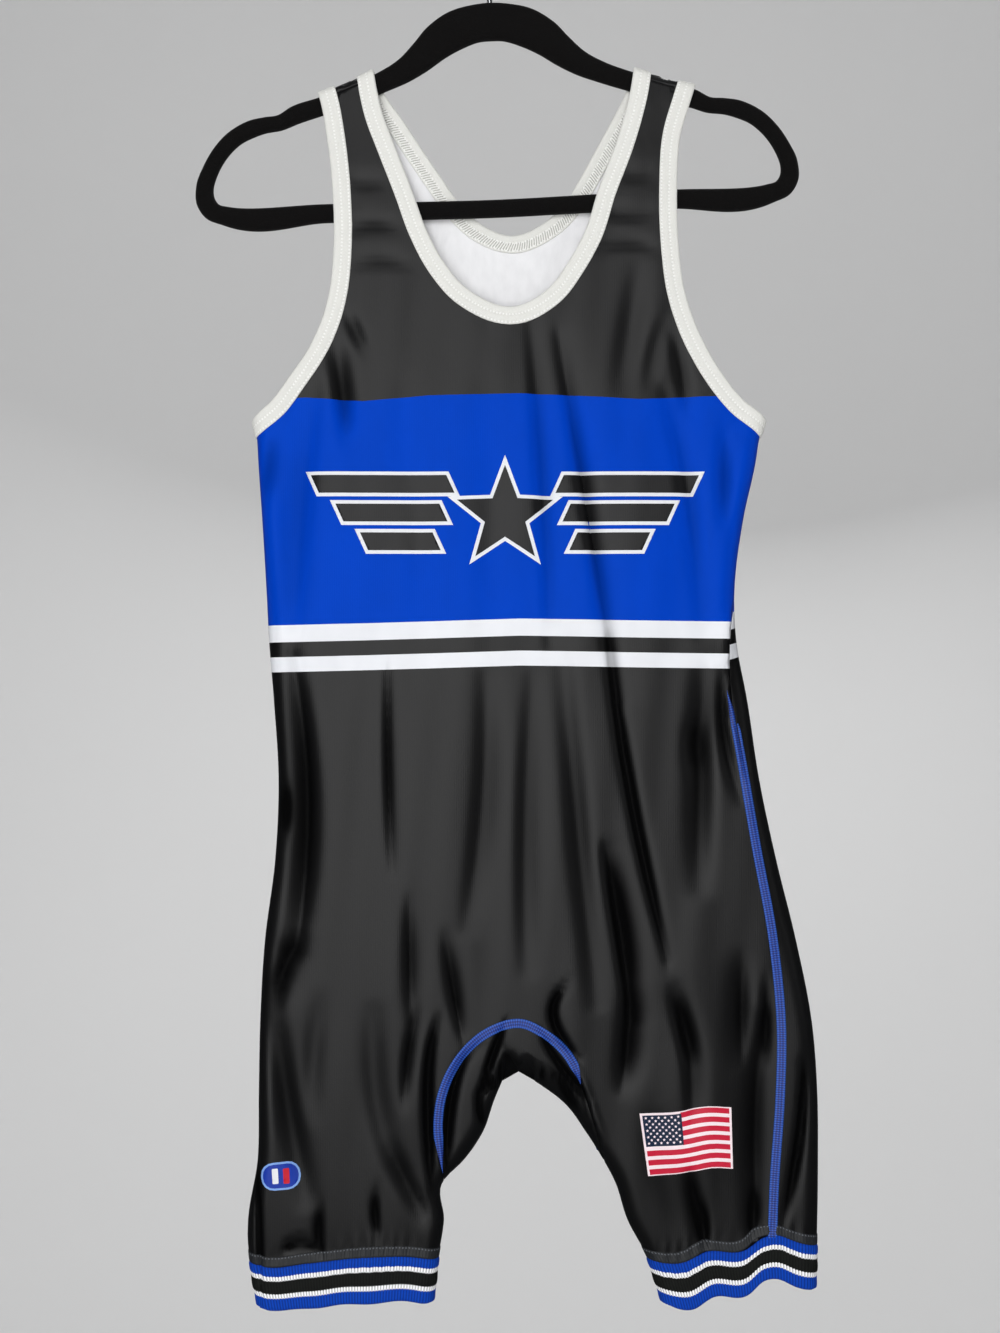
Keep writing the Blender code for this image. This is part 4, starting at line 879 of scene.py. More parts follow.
def triangulate(layer):
    """Corners and triangles of one layer in (x, drop), cut along its edges, bindings and seams."""
    loop = PATTERN.loop(layer)
    bound = [pair for (_, side), pair in PATTERN.edges.items() if side == layer]
    lines = [np.concatenate([loop, loop[:1]])]
    for pair in PATTERN.seams[layer].values():
        lines += pair
    spare = []
    rounding = SIDE_ROUNDING * half_depth(PIT_DROP)
    for inset in ROUND_INSETS:
        for path, way in ((PATTERN.fold["left"], -1), (PATTERN.fold["right"], 1), (PATTERN.crotch, 1)):
            spare.append(offset_path(path, way * inset * rounding))
    xs = np.arange(loop[:, 0].min(), loop[:, 0].max(), GRID_ACROSS)
    drops = np.arange(loop[:, 1].min(), loop[:, 1].max(), GRID_DOWN)
    grid = np.array([(x + (row % 2) * GRID_ACROSS / 2, drop) for row, drop in enumerate(drops) for x in xs])
    low_x, low_drop, high_x, high_drop = CROTCH_BOX
    boxed = ((grid > (low_x, low_drop)) & (grid < (high_x, high_drop))).all(axis=1)
    fine = [(x + (row % 2) * FINE_GRID / 2, drop) for row, drop in enumerate(np.arange(low_drop, high_drop, FINE_GRID))
            for x in np.arange(low_x, high_x, FINE_GRID)]
    grid = np.concatenate([grid[~boxed], fine])
    grid = grid[inside(grid, loop)]
    far, _ = nearest_on_paths(grid, [PATTERN.fold["left"], PATTERN.fold["right"], PATTERN.crotch])
    spare.append(grid[far > (ROUND_INSETS[-1] + 0.15) * rounding])
    for side in ("left", "right"):
        for place in PATTERN.between_bindings(side):
            spare.append(place + [(0, inset) for inset in TOP_INSETS])
    spare = np.concatenate(spare)
    spare = spare[inside(spare, loop)]
    apart, _ = nearest_on_paths(spare, lines[1:])
    spare = spare[apart > 1.0]
    apart, _ = nearest_on_paths(spare, [lines[0]])
    spare = spare[apart > 0.3]
    points, edges = [], []
    for line in lines:
        first = len(points)
        points.extend(line)
        edges += [(first + k, first + k + 1) for k in range(len(line) - 1)]
    points.extend(spare)
    squeeze = GRID_ACROSS / GRID_DOWN
    squeezed = [Vector((p[0], p[1] * squeeze)) for p in points]
    corners, _, triangles, *_ = delaunay_2d_cdt(squeezed, edges, [], 0, 1e-4)
    corners = np.array(corners) / (1, squeeze)
    triangles = np.array(triangles)
    middles = corners[triangles].mean(axis=1)
    keep = inside(middles, loop)
    return corners, triangles[keep], middles[keep]


def ring_step(name, layer):
    """Which way a binding's ring runs along an edge: with its points (1) or against them (-1)."""
    return 1 if (name == "neck") == (layer == FRONT) else -1


def beside(points, path, far):
    """Which points lie between a seam's cut edge and the far corners given."""
    return inside(points, np.concatenate([path, far]))


def panel_of(layer, middles):
    """The name of the piece that each triangle of a layer belongs to; the slits along seams have none."""
    seams = PATTERN.seams[layer]
    main, other = ("front_panel", "back_panel") if layer == FRONT else ("back_panel", "front_panel")
    name = np.full(len(middles), main, dtype="U16")
    crossing = [(RIGHT_OF_ALL, SIDE_SEAM_CROSSING)]
    if layer == FRONT:
        edges = [(seams["side"][1], seams["side"][0], [(RIGHT_OF_ALL, BELOW_ALL)] + crossing)]
    else:
        edges = [(*seams["left"], [(LEFT_OF_ALL, BELOW_ALL), (LEFT_OF_ALL, ABOVE_SIDES)])]
        edges.append((seams["right"][1], seams["right"][0], crossing + [(RIGHT_OF_ALL, ABOVE_SIDES)]))
        between = [(CROTCH.left, BELOW_ALL), (CROTCH.left, CROTCH.drop)]
        edges.append((*seams["inseam_left"][::-1], between))
        edges.append((*seams["inseam_right"], between))
    for main_edge, strip_edge, far in edges:
        name[beside(middles, main_edge, far)] = ""
        name[beside(middles, strip_edge, far)] = other
    if layer == FRONT:
        for side in ("left", "right"):
            above, below = seams["shoulder_" + side]
            over = [(above[-1][0], 0), (above[0][0], 0)]
            name[beside(middles, below, over)] = ""
            name[beside(middles, above, over)] = "back_panel"
    above, below = seams["gusset"]
    under = [(above[-1][0], BELOW_ALL), (above[0][0], BELOW_ALL)]
    name[beside(middles, above, under)] = ""
    name[beside(middles, below, under)] = "gusset"
    return name


def printed_at(flat, side, rise):
    """Each place in the print's own measure: across, and down with its borders made level."""
    x, drop = flat.T
    blue_top = np.interp(x, [r.x for r in BORDERS], [r.blue_top for r in BORDERS])
    stripes = np.interp(x, [r.x for r in BORDERS], [r.stripes for r in BORDERS])
    share = np.clip((drop - BLUE_TOP) / (STRIPES[0] - BLUE_TOP), 0, 1)
    wander = (blue_top * (1 - share) + stripes * share) * (1 if side == FRONT else 0.4)
    return np.column_stack([x, drop - wander + rise])


def new_piece(name, points, faces, materials, picks=None, measure=None, smooth=True):
    """A mesh object in metres. `measure` gives each corner's place in the cloth's own millimetres."""
    mesh = bpy.data.meshes.new(name)
    mesh.from_pydata((np.asarray(points) * MM).tolist(), [], [tuple(int(k) for k in f) for f in faces])
    for material in materials:
        mesh.materials.append(material)
    if picks is not None:
        mesh.polygons.foreach_set("material_index", np.asarray(picks, np.int32))
    if measure is not None:
        layer = mesh.attributes.new("measure", "FLOAT_VECTOR", "POINT")
        layer.data.foreach_set("vector", np.asarray(measure, np.float32).ravel())
    if smooth:
        mesh.shade_smooth()
    mesh.update()
    piece = bpy.data.objects.new(name, mesh)
    bpy.context.collection.objects.link(piece)
    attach(piece, "root")
    return piece


def cloth_wall(name, outer, normals, measure, triangles, materials):
    """A sheet with its outer face, its inner face and a rim round each cut edge."""
    ends = outer[triangles]
    outward = np.cross(ends[:, 1] - ends[:, 0], ends[:, 2] - ends[:, 0])
    facing = np.einsum("ij,ij->i", outward, normals[triangles].sum(axis=1)) > 0
    triangles = np.where(facing[:, None], triangles, triangles[:, ::-1])
    count = len(outer)
    sides = np.concatenate([triangles[:, [0, 1]], triangles[:, [1, 2]], triangles[:, [2, 0]]])
    known = set(map(tuple, sides.tolist()))
    rim = [(b, a, a + count, b + count) for a, b in known if (b, a) not in known]
    faces = triangles.tolist() + (triangles[:, ::-1] + count).tolist() + sorted(rim)
    picks = np.repeat([0, 1, 0], [len(triangles), len(triangles), len(rim)])
    points = np.concatenate([outer, outer - normals * CLOTH_THICK])
    return new_piece(name, points, faces, materials, picks, np.concatenate([measure, measure]))


def make_panels(printed, inside_cloth):
    """Front panel, back panel and gusset, each cut from both layers and joined at the folds."""
    sheets = {"front_panel": {}, "back_panel": {}, "gusset": {}}
    faces = {name: [] for name in sheets}
    for layer in (FRONT, BACK):
        corners, triangles, middles = triangulate(layer)
        points, normals = surface(corners, layer)
        shading = folds_at(corners, layer, shading=True)
        names = panel_of(layer, middles)
        for name, corners_of in sheets.items():
            rise = BACK_PRINT_RISE if name == "back_panel" else 0
            measure = printed_at(corners, FRONT if name == "front_panel" else BACK, rise)
            if name == "back_panel" and layer == FRONT:
                measure[:, 1] += BACK_STRIP_SLANT * np.clip(corners[:, 0] - PATTERN_EDGE, 0, 14)
            # The third number is how much painted shade the folds give the cloth at each corner
            measure = np.column_stack([measure, shading])
            for triangle in triangles[names == name]:
                face = []
                for k in triangle:
                    place = tuple(np.round(points[k], 3) + 0.0)
                    row = (len(corners_of), points[k], normals[k], measure[k])
                    face.append(corners_of.setdefault(place, row)[0])
                if len(set(face)) == 3:
                    faces[name].append(face)
    pieces = {}
    for name, corners_of in sheets.items():
        rows = sorted(corners_of.values(), key=lambda row: row[0])
        outer, normals, measure = (np.array([row[k] for row in rows]) for k in (1, 2, 3))
        cloth = cloth_wall(name + "_cloth", outer, normals, measure, np.array(faces[name]), [printed[name], inside_cloth])
        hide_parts(name)
        pieces[name] = cloth
    return pieces


def closed_sweep(name, stations, materials, measure=None, flat_shade=False):
    """A closed ring through stations that each hold the same number of section points."""
    rings, size = stations.shape[:2]
    i, k = np.meshgrid(np.arange(rings), np.arange(size), indexing="ij")
    after, beside_it = (i + 1) % rings, (k + 1) % size
    faces = np.stack([i * size + k, i * size + beside_it, after * size + beside_it, after * size + k], axis=-1)
    points = stations.reshape(-1, 3)
    piece = new_piece(name, points, faces.reshape(-1, 4), materials, None, measure, not flat_shade)
    outward_faces(piece)
    return piece


def outward_faces(piece):
    body = bmesh.new()
    body.from_mesh(piece.data)
    bmesh.ops.recalc_face_normals(body, faces=body.faces)
    body.to_mesh(piece.data)
    body.free()


# Across a binding, from where it ends (0) to its folded edge (1): how far it stands out.
# The two dips are its rows of stitches.
BindingRow = namedtuple("BindingRow", "share stands")
BINDING_PROFILE = [
    BindingRow(0.0, 0.45),
    BindingRow(0.04, 0.80),
    BindingRow(0.10, 0.72),
    BindingRow(0.155, 0.56),
    BindingRow(0.21, 0.74),
    BindingRow(0.32, 0.98),
    BindingRow(0.46, 1.02),
    BindingRow(0.56, 0.80),
    BindingRow(0.61, 0.62),
    BindingRow(0.66, 0.80),
    BindingRow(0.78, 1.02),
    BindingRow(0.90, 1.02),
    BindingRow(1.0, 0.95),
]


def binding_stations(edge_name):
    """A bound edge's stations round both layers: flat places at the cut edge and at the inset line."""
    rows = []
    for layer in (FRONT, BACK):
        edge, inset = PATTERN.edges[edge_name, layer]
        order = slice(None, None, ring_step(edge_name, layer))
        rows += [(layer, cut, end) for cut, end in list(zip(edge, inset))[order][:-1]]
    return rows


def make_binding(edge_name, name, material):
    """A strip folded over a cut edge: a soft channel whose legs lie on the cloth's two faces."""
    rows = binding_stations(edge_name)
    shares = np.array([row.share for row in BINDING_PROFILE])
    stands = np.array([row.stands for row in BINDING_PROFILE])
    section = []
    for layer in (FRONT, BACK):
        picked = [(cut, end) for side, cut, end in rows if side == layer]
        cuts, ends = (np.array([pair[k] for pair in picked]) for k in (0, 1))
        legs = [surface(ends + share * (cuts - ends), layer) for share in shares]
        (last, last_normal), (first, _) = legs[-1], legs[0]
        out = last - first
        out /= np.linalg.norm(out, axis=1)[:, None]
        line = [p + n * (GAP + stand) for (p, n), stand in zip(legs, stands)]
        radius = (CLOTH_THICK + 2 * GAP + 2 * stands[-1]) / 2
        middle = last - last_normal * CLOTH_THICK / 2 + out * 0.1
        for turn in (60, 30, 0, -30, -60):
            angle = math.radians(turn)
            line.append(middle + radius * (last_normal * math.sin(angle) + out * 0.9 * math.cos(angle)))
        line += [p - n * (CLOTH_THICK + GAP + stand) for (p, n), stand in zip(legs[::-1], stands[::-1])]
        line.append(first - legs[0][1] * (CLOTH_THICK + 0.05))
        line.append(last + out * 0.15 - last_normal * (CLOTH_THICK + 0.05))
        line.append(last + out * 0.15 + last_normal * 0.05)
        line.append(first + legs[0][1] * 0.05)
        section.append(np.stack(line, axis=1))
    stations = np.concatenate(section)
    spine = stations[:, 5]
    along = np.concatenate([[0], np.cumsum(np.linalg.norm(np.diff(spine, axis=0), axis=1))])
    size = stations.shape[1]
    across = np.concatenate([shares, [1.03, 1.06, 1.09, 1.06, 1.03], shares[::-1], [0, 1, 1, 0]]) * BINDING_WIDTH
    within = np.concatenate([np.zeros(len(shares) + 2), np.ones(3 + len(shares)), np.zeros(4)])
    measure = np.stack([np.repeat(along, size), np.tile(across, len(stations)), np.tile(within, len(stations))], axis=1)
    piece = closed_sweep(name + "_cloth", stations, [material], measure)
    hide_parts(name)
    return piece, along[-1]


def strip_on_cloth(path, widths, side, lift, crown):
    """Points of a strip that lies along a path on the cloth, slightly crowned: stations by places across."""
    run = np.gradient(path, axis=0)
    run /= np.linalg.norm(run, axis=1)[:, None]
    across = np.column_stack([-run[:, 1], run[:, 0]])
    lines = []
    for share in np.linspace(-1, 1, 9):
        flat = path + across * (share * widths / 2)[:, None]
        points, normals = surface(flat, side)
        lines.append(points + normals * (lift + crown * (1 - share**2) ** 0.5))
    return np.stack(lines, axis=1)


def make_seam(name, path, side, material, starts=0.0, ends=0.0, width=SEAM_WIDTH, one_side=0):
    """A flat-locked seam: a ribbon of stitches over the butted edges, tapered where cloth covers it."""
    fine = smooth_path(path, 1.6)
    along = run_lengths(fine)
    shown = np.ones(len(fine))
    if starts:
        shown *= np.clip(along / starts, 0.02, 1)
    if ends:
        shown *= np.clip((along[-1] - along) / ends, 0.02, 1)
    widths = width * shown
    if one_side:
        fine = offset_path(fine, 0.0) + (offset_path(fine, 1.0) - fine) * (one_side * (width - widths) / 2)[:, None]
    top = strip_on_cloth(fine, widths, side, 0.32, 0.28)
    low = strip_on_cloth(fine, widths, side, -0.1, 0.0)
    stations, size = top.shape[:2]
    points = np.concatenate([top.reshape(-1, 3), low.reshape(-1, 3)])
    faces = []
    count = stations * size
    for i in range(stations - 1):
        for k in range(size - 1):
            a = i * size + k
            faces.append((a, a + 1, a + size + 1, a + size))
            faces.append((a + count, a + count + size, a + count + size + 1, a + count + 1))
        for k, turn in ((0, 1), (size - 1, -1)):
            a = i * size + k
            faces.append((a, a + size, a + size + count, a + count)[::turn])
    for i, turn in ((0, 1), (stations - 1, -1)):
        for k in range(size - 1):
            a = i * size + k
            faces.append((a, a + count, a + count + 1, a + 1)[::turn])
    across = np.tile(np.linspace(-1, 1, size), stations) * np.repeat(widths, size) / width
    measure = np.column_stack([np.repeat(along, size), across, np.zeros(count)])
    piece = new_piece(name, points, faces, [material], None, np.concatenate([measure, measure]))
    outward_faces(piece)
    return piece


def round_leg(side, count, downs, start, height, outward, inward):
    """Rings of points round a leg, in line with its hem: stations by places down and back up the inside."""
    hem = PATTERN.hem[side]
    outer_line, inner_line_low = PATTERN.below[side], PATTERN.inner_below[side]
    if start < 0:
        outer_line = PATTERN.fold[side]
        inner_line_low = PATTERN.crotch[::-1] if side == "right" else PATTERN.crotch
        inner_line_low = inner_line_low[inner_line_low[:, 1] > CROTCH.drop + 60]
        inner_line_low = inner_line_low[(inner_line_low[:, 0] < CROTCH.left) == (side == "left")]
        inner_line_low = inner_line_low[np.argsort(inner_line_low[:, 1])]
    width = abs(hem[-1][0] - hem[0][0])
    share = across_leg(width, SIDE_ROUNDING * half_depth(HEM_DROP), count)
    order = np.argsort(hem[:, 0])
    section = []
    for layer, picks in ((FRONT, np.arange(count)), (BACK, np.arange(count, 0, -1))):
        t = share[picks]
        top_x = hem[0][0] + t * (hem[-1][0] - hem[0][0])
        top_drop = np.interp(top_x, hem[order, 0], hem[order, 1]) + start
        swell = 1.0 + 0.03 * np.sin(top_x / 19) + 0.02 * np.sin(top_x / 7 + 1)
        if layer == BACK and start > 0:
            swell += BACK_CUFF_DIPS * np.exp(-(((top_x - ARCH_X) / 13) ** 2))
        outer_side, inner_side = [], []
        for down in downs:
            drop = top_drop + height * down * swell
            x = ((1 - t) * np.interp(drop, outer_line[:, 1], outer_line[:, 0])
                 + t * np.interp(drop, inner_line_low[:, 1], inner_line_low[:, 0]))
            points, normals = surface(np.column_stack([x, drop]), layer)
            outer_side.append(points + normals * outward(down, picks)[:, None])
            inner_side.append(points - normals * inward(down))
        section.append(np.stack(outer_side + inner_side[::-1], axis=1))
    return np.concatenate(section)


def make_cuff(side, material):
    """A rib-knit tube below one hem, its ribs raised all round, its foot rolled a little."""
    hem = PATTERN.hem[side]
    count = 2 * int(round((abs(hem[-1][0] - hem[0][0]) + 12) / RIB_PITCH))
    downs = np.linspace(0, 1, 19)

    def outward(down, picks):
        ease = 0.25 + 0.9 * math.sin(math.pi * min(1, down * 1.2) / 2) + 0.25 * math.sin(5 * math.pi * down)
        rolled = math.sqrt(max(0.0, 1 - ((down - 0.94) / 0.06) ** 2)) if down > 0.94 else 1.0
        ribs = np.where(picks % 2 == 0, RIB_HEIGHT, 0.0) * min(1.0, down / 0.05)
        return (ease + ribs) * rolled - 0.9 * (1 - rolled)

    def inward(down):
        return 1.0 + (0.2 if down > 0.97 else 0)

    stations = round_leg(side, count, downs, 0.1, CUFF_HEIGHT, outward, inward)
    size = stations.shape[1]
    measure = np.column_stack([
        np.repeat(np.arange(len(stations)), size) * RIB_PITCH / 2,
        np.tile(np.concatenate([downs, downs[::-1]]), len(stations)), np.zeros(len(stations) * size)])
    piece = closed_sweep(f"cuff_{side}_rib", stations, [material], measure)
    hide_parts(f"cuff_{side}")
    return piece, len(stations) * RIB_PITCH / 2


def make_hem_band(side, material):
    """The cover-stitched edge of one leg, where the cloth is joined to its cuff."""
    downs = np.array([0, 0.08, 0.2, 0.5, 0.8, 0.92, 1.0])
    stands = np.array([0.05, 0.3, 0.45, 0.5, 0.5, 0.45, 0.2])
    stations = round_leg(side, 150, downs, -7.6, 7.9,
                         lambda down, picks: np.full(len(picks), np.interp(down, downs, stands)), lambda down: 0.15)
    size = stations.shape[1]
    along = np.concatenate([[0], np.cumsum(np.linalg.norm(np.diff(stations[:, 3], axis=0), axis=1))])
    measure = np.column_stack([
        np.repeat(along, size), np.tile(np.concatenate([downs, downs[::-1]]), len(stations)),
        np.zeros(len(stations) * size)])
    return closed_sweep(f"hem_band_{side}", stations, [material], measure)


def make_hanger(flocking, wire_metal):
    """The flocked loop, with round edges, and its wire hook."""
    round_radius = HANGER_THICK / 2
    half = np.array([(r.out_x, r.out_drop, r.in_x, r.in_drop) for r in HANGER], float)
    mirrored = half[-2:0:-1] * (-1, 1, -1, 1)
    rows = np.concatenate([half, mirrored])
    closed = np.concatenate([rows[-3:], rows, rows[:4]])
    middle = (closed[:, :2] + closed[:, 2:]) / 2
    along = run_lengths(middle)
    first, last = along[3], along[3 + len(rows)]
    fine = np.linspace(first, last, 421)[:-1]
    rows = np.column_stack([hermite(along, closed[:, k], fine) for k in range(4)])
    stations = []
    for out_x, out_drop, in_x, in_drop in rows:
        outer, inner = np.array([out_x, out_drop]), np.array([in_x, in_drop])
        way = unit(outer - inner)
        section = []
        for centre, facing in ((outer - way * round_radius, 1), (inner + way * round_radius, -1)):
            for turn in range(-90, 91, 15):
                across = math.cos(math.radians(turn))
                flat = centre + way * facing * round_radius * across
                x, drop = tilt(*flat)
                section.append((x, facing * round_radius * math.sin(math.radians(turn)), -drop))
        stations.append(section)
    body = closed_sweep("hanger_flocked", np.array(stations), [flocking])
    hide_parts("hanger_body")
    wire = HOOK_WIRE / 2
    crown = HOOK_INNER_RADIUS + wire
    route = [(0, HANGER[0].out_drop + 10), (0, 62), (0, 54), (-5, 47.5), (-13, 40)]
    route += [(-crown * math.cos(math.radians(a)), HOOK_INNER_RADIUS - crown * math.sin(math.radians(a)))
              for a in range(-40, 216, 15)]
    path = smooth_path(route, 1.5)
    curve = bpy.data.curves.new("hook_wire", "CURVE")
    curve.dimensions = "3D"
    curve.bevel_depth = wire * MM
    curve.bevel_resolution = 5
    curve.use_fill_caps = True
    spline = curve.splines.new("POLY")
    spline.points.add(len(path) - 1)
    for point, flat in zip(spline.points, path):
        x, drop = tilt(*flat)
        point.co = (x * MM, 0, -drop * MM, 1)
    curve.materials.append(wire_metal)
    hook = bpy.data.objects.new("hook_wire", curve)
    bpy.context.collection.objects.link(hook)
    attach(hook, "root")
    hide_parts("hanger_hook")


def inked(name, outlines, side, lift, material, step=1.5):
    """Printed shapes of one colour: closed outlines in (x, drop), laid on the cloth."""
    all_corners, all_triangles, first = [], [], 0
    for outline in outlines:
        outline = np.asarray(outline, float)
        closed = np.concatenate([outline, outline[:1]])
        along = run_lengths(closed)
        stops = np.unique(np.concatenate([along, np.arange(0, along[-1], step)]).round(4))
        rim = np.column_stack([np.interp(stops, along, closed[:, k]) for k in range(2)])[:-1]
        low, high = rim.min(axis=0), rim.max(axis=0)
        grid = np.array([(x, d) for x in np.arange(low[0] + step / 2, high[0], step)
                         for d in np.arange(low[1] + step / 2, high[1], step)]).reshape(-1, 2)
        if len(grid):
            grid = grid[inside(grid, rim)]
        if len(grid):
            apart, _ = nearest_on_paths(grid, [np.concatenate([rim, rim[:1]])])
            grid = grid[apart > 0.35 * step]
        spots = [Vector(p) for p in rim] + [Vector(p) for p in grid]
        edges = [(k, (k + 1) % len(rim)) for k in range(len(rim))]
        corners, _, triangles, *_ = delaunay_2d_cdt(spots, edges, [], 0, 1e-5)
        corners, triangles = np.array(corners), np.array(triangles)
        triangles = triangles[inside(corners[triangles].mean(axis=1), rim)]
        all_corners.append(corners)
        all_triangles.append(triangles + first)
        first += len(corners)
    corners, triangles = np.concatenate(all_corners), np.concatenate(all_triangles)
    points, normals = surface(corners, side)
    ends = points[triangles]
    outward = np.cross(ends[:, 1] - ends[:, 0], ends[:, 2] - ends[:, 0])
    facing = np.einsum("ij,ij->i", outward, normals[triangles].sum(axis=1)) > 0
    triangles = np.where(facing[:, None], triangles, triangles[:, ::-1])
    # The third number is how much painted shade the folds give the print at each corner
    measure = np.column_stack([corners, folds_at(corners, side, shading=True)])
    return new_piece(name, points + normals * lift, triangles, [material], None, measure)


def star(x, drop, radius, waist=0.42):
    """A five-pointed star's outline, one point up."""
    return [(x + r * math.sin(math.pi * k / 5), drop - r * math.cos(math.pi * k / 5))
            for k in range(10) for r in [radius if k % 2 == 0 else radius * waist]]


def outset(outline, by):
    """The same outline grown by a distance on all sides."""
    outline = np.asarray(outline, float)
    run = np.roll(outline, -1, axis=0) - outline
    run /= np.linalg.norm(run, axis=1)[:, None]
    area = np.sum(outline[:, 0] * np.roll(outline[:, 1], -1) - np.roll(outline[:, 0], -1) * outline[:, 1])
    away = np.column_stack([run[:, 1], -run[:, 0]]) * np.sign(area)
    before = np.roll(away, 1, axis=0)
    return outline + by * (away + before) / (1 + np.sum(away * before, axis=1))[:, None]


def make_chest_print(inks):
    """A plain sports motif across the blue band: a star between bars that taper outwards."""
    middle_x, middle_drop = CHEST_MIDDLE
    shapes = [star(middle_x, middle_drop + 2, 37)]
    for way in (-1, 1):
        for row, reach in ((-1, 136), (0, 118), (1, 100)):
            drop = middle_drop + row * 21
            near = 42 + 5 * row
            low, high = drop + 6.5, drop - 6.5
            shapes.append([(middle_x + way * near, low), (middle_x + way * (near + 6), high),
                           (middle_x + way * (reach + 6), high), (middle_x + way * reach, low)])
    inked("chest_print_outline", [outset(shape, 2.6) for shape in shapes], FRONT, 0.22, inks["white"])
    inked("chest_print_fill", shapes, FRONT, 0.48, inks["black"])


def flag_place(across, down):
    """A place on the flag print, which waves a little, in (x, drop)."""
    left, right = np.array(FLAG_CORNERS[0]), np.array(FLAG_CORNERS[1])
    low_left, low_right = np.array(FLAG_CORNERS[3]), np.array(FLAG_CORNERS[2])
    top = left + (right - left) * across
    foot = low_left + (low_right - low_left) * across
    wave = 0.6 * math.exp(-((across - 0.28) / 0.2) ** 2) - 2.6 * math.exp(-((across - 0.76) / 0.22) ** 2)
    return tuple(top + (foot - top) * down + (0, wave))


def flag_patch(left, top, right, foot):
    """The outline of a part of the flag, given in shares of its width and height."""
    steps = np.linspace(left, right, 13)
    return [flag_place(u, top) for u in steps] + [flag_place(u, foot) for u in steps[::-1]]


def make_flag_print(inks):
    """The flag of the United States on the right leg: thirteen stripes, and fifty stars in nine rows."""
    stripe = 1 / 13
    inked("flag_print_ground", [flag_patch(-0.014, -0.026, 1.014, 1.026)], FRONT, 0.22, inks["flag_white"])
    red = [flag_patch(0.44 if k < 7 else 0.012, k * stripe - 0.007, 0.988, (k + 1) * stripe + 0.007)
           for k in range(0, 13, 2)]
    inked("flag_print_stripes", red, FRONT, 0.42, inks["flag_red"])
    inked("flag_print_canton", [flag_patch(0.012, 0.012, 0.45, 7 * stripe)], FRONT, 0.56, inks["flag_navy"])
    stars = []
    for row in range(9):
        count = 6 if row % 2 == 0 else 5
        for k in range(count):
            across = (2 * k + 1 + (row % 2)) / 12
            x, drop = flag_place(0.012 + 0.438 * across, (row + 1) / 10 * 7 * stripe)
            stars.append(star(x, drop, 1.15, 0.5))
    inked("flag_print_stars", stars, FRONT, 0.70, inks["flag_white"])


def rounded_box(x, drop, half_width, half_height, radius, lean=0.0):
    """A round-cornered rectangle's outline, leaning a little."""
    outline = []
    for turn, (cx, cy) in enumerate(((1, 1), (-1, 1), (-1, -1), (1, -1))):
        for k in range(5):
            angle = math.pi / 2 * (turn + k / 4)
            outline.append((cx * (half_width - radius) + radius * math.cos(angle),
                            cy * (half_height - radius) + radius * math.sin(angle)))
    turned = [(a * math.cos(lean) - b * math.sin(lean), a * math.sin(lean) + b * math.cos(lean)) for a, b in outline]
    return [(x + a, drop + b) for a, b in turned]


def make_leg_badge(inks):
    """A plain round-ended badge above the left cuff: a blue field in a light blue rim, with two bars."""
    x, drop, lean = LEG_BADGE
    inked("leg_badge_rim", [rounded_box(x, drop, 14.4, 10.2, 9.4, lean)], FRONT, 0.22, inks["light_blue"])
    inked("leg_badge_field", [rounded_box(x, drop, 12.9, 8.7, 8.0, lean)], FRONT, 0.32, inks["blue"])
    inked("leg_badge_white_bar", [rounded_box(x - 4, drop, 2.2, 5.6, 0.8, lean)], FRONT, 0.42, inks["white"])
    inked("leg_badge_red_bar", [rounded_box(x + 4, drop, 2.2, 5.6, 0.8, lean)], FRONT, 0.42, inks["red"])


def hex_colour(text):
    parts = [int(text[k:k + 2], 16) / 255 for k in (0, 2, 4)]
    return [c / 12.92 if c <= 0.04045 else ((c + 0.055) / 1.055) ** 2.4 for c in parts] + [1]


def add(tree, kind, links=None, **settings):
    """Adds one node, sets what it is and holds, and links what feeds it."""
    made = tree.nodes.new(kind)
    for name, value in settings.items():
        setattr(made, name, value)
    for socket, value in (links or {}).items():
        if isinstance(value, bpy.types.NodeSocket):
            tree.links.new(value, made.inputs[socket])
        else:
            made.inputs[socket].default_value = value
    return made


def blank_material(name):
    material = bpy.data.materials.new(name)
    material.use_nodes = True
    tree = material.node_tree
    shader = tree.nodes["Principled BSDF"]
    return material, tree, shader


def measure_of(tree):
    """The cloth's own millimetres at each point, as three numbers; on the knit panels and the prints the third is how
    much painted shade the folds give it there.
    """
    place = add(tree, "ShaderNodeAttribute", attribute_name="measure")
    return place, add(tree, "ShaderNodeSeparateXYZ", {0: place.outputs["Vector"]})


def knit_bump(tree, shader, strength=0.25, rows_mm=1.3):
    """Fine vertical wales of a warp knit. Real ones are 0.4 mm apart; they are drawn at 1.3 mm to show."""
    place = add(tree, "ShaderNodeTexCoord")
    split = add(tree, "ShaderNodeSeparateXYZ", {0: place.outputs["Object"]})
    wale = add(tree, "ShaderNodeMath", {0: split.outputs["X"], 1: 2 * math.pi / (rows_mm * MM)}, operation="MULTIPLY")
    wave = add(tree, "ShaderNodeMath", {0: wale.outputs[0]}, operation="SINE")
    grain = add(tree, "ShaderNodeTexNoise", {"Vector": place.outputs["Object"], "Scale": 900.0, "Detail": 3.0})
    both = add(tree, "ShaderNodeMath", {0: wave.outputs[0], 1: 0.25, 2: grain.outputs["Fac"]}, operation="MULTIPLY_ADD")
    bump = add(tree, "ShaderNodeBump", {"Height": both.outputs[0], "Strength": strength, "Distance": 0.0002})
    tree.links.new(bump.outputs["Normal"], shader.inputs["Normal"])
    return place, split


def steps(tree, factor, positions, colours, interpolation="CONSTANT"):
    """A ramp of colours, each from its own position on."""
    ramp = add(tree, "ShaderNodeValToRGB", {"Fac": factor})
    ramp.color_ramp.interpolation = interpolation
    while len(ramp.color_ramp.elements) < len(colours):
        ramp.color_ramp.elements.new(0.5)
    for element, position, colour in zip(ramp.color_ramp.elements, positions, colours):
        element.position = position
        element.color = hex_colour(colour)
    return ramp


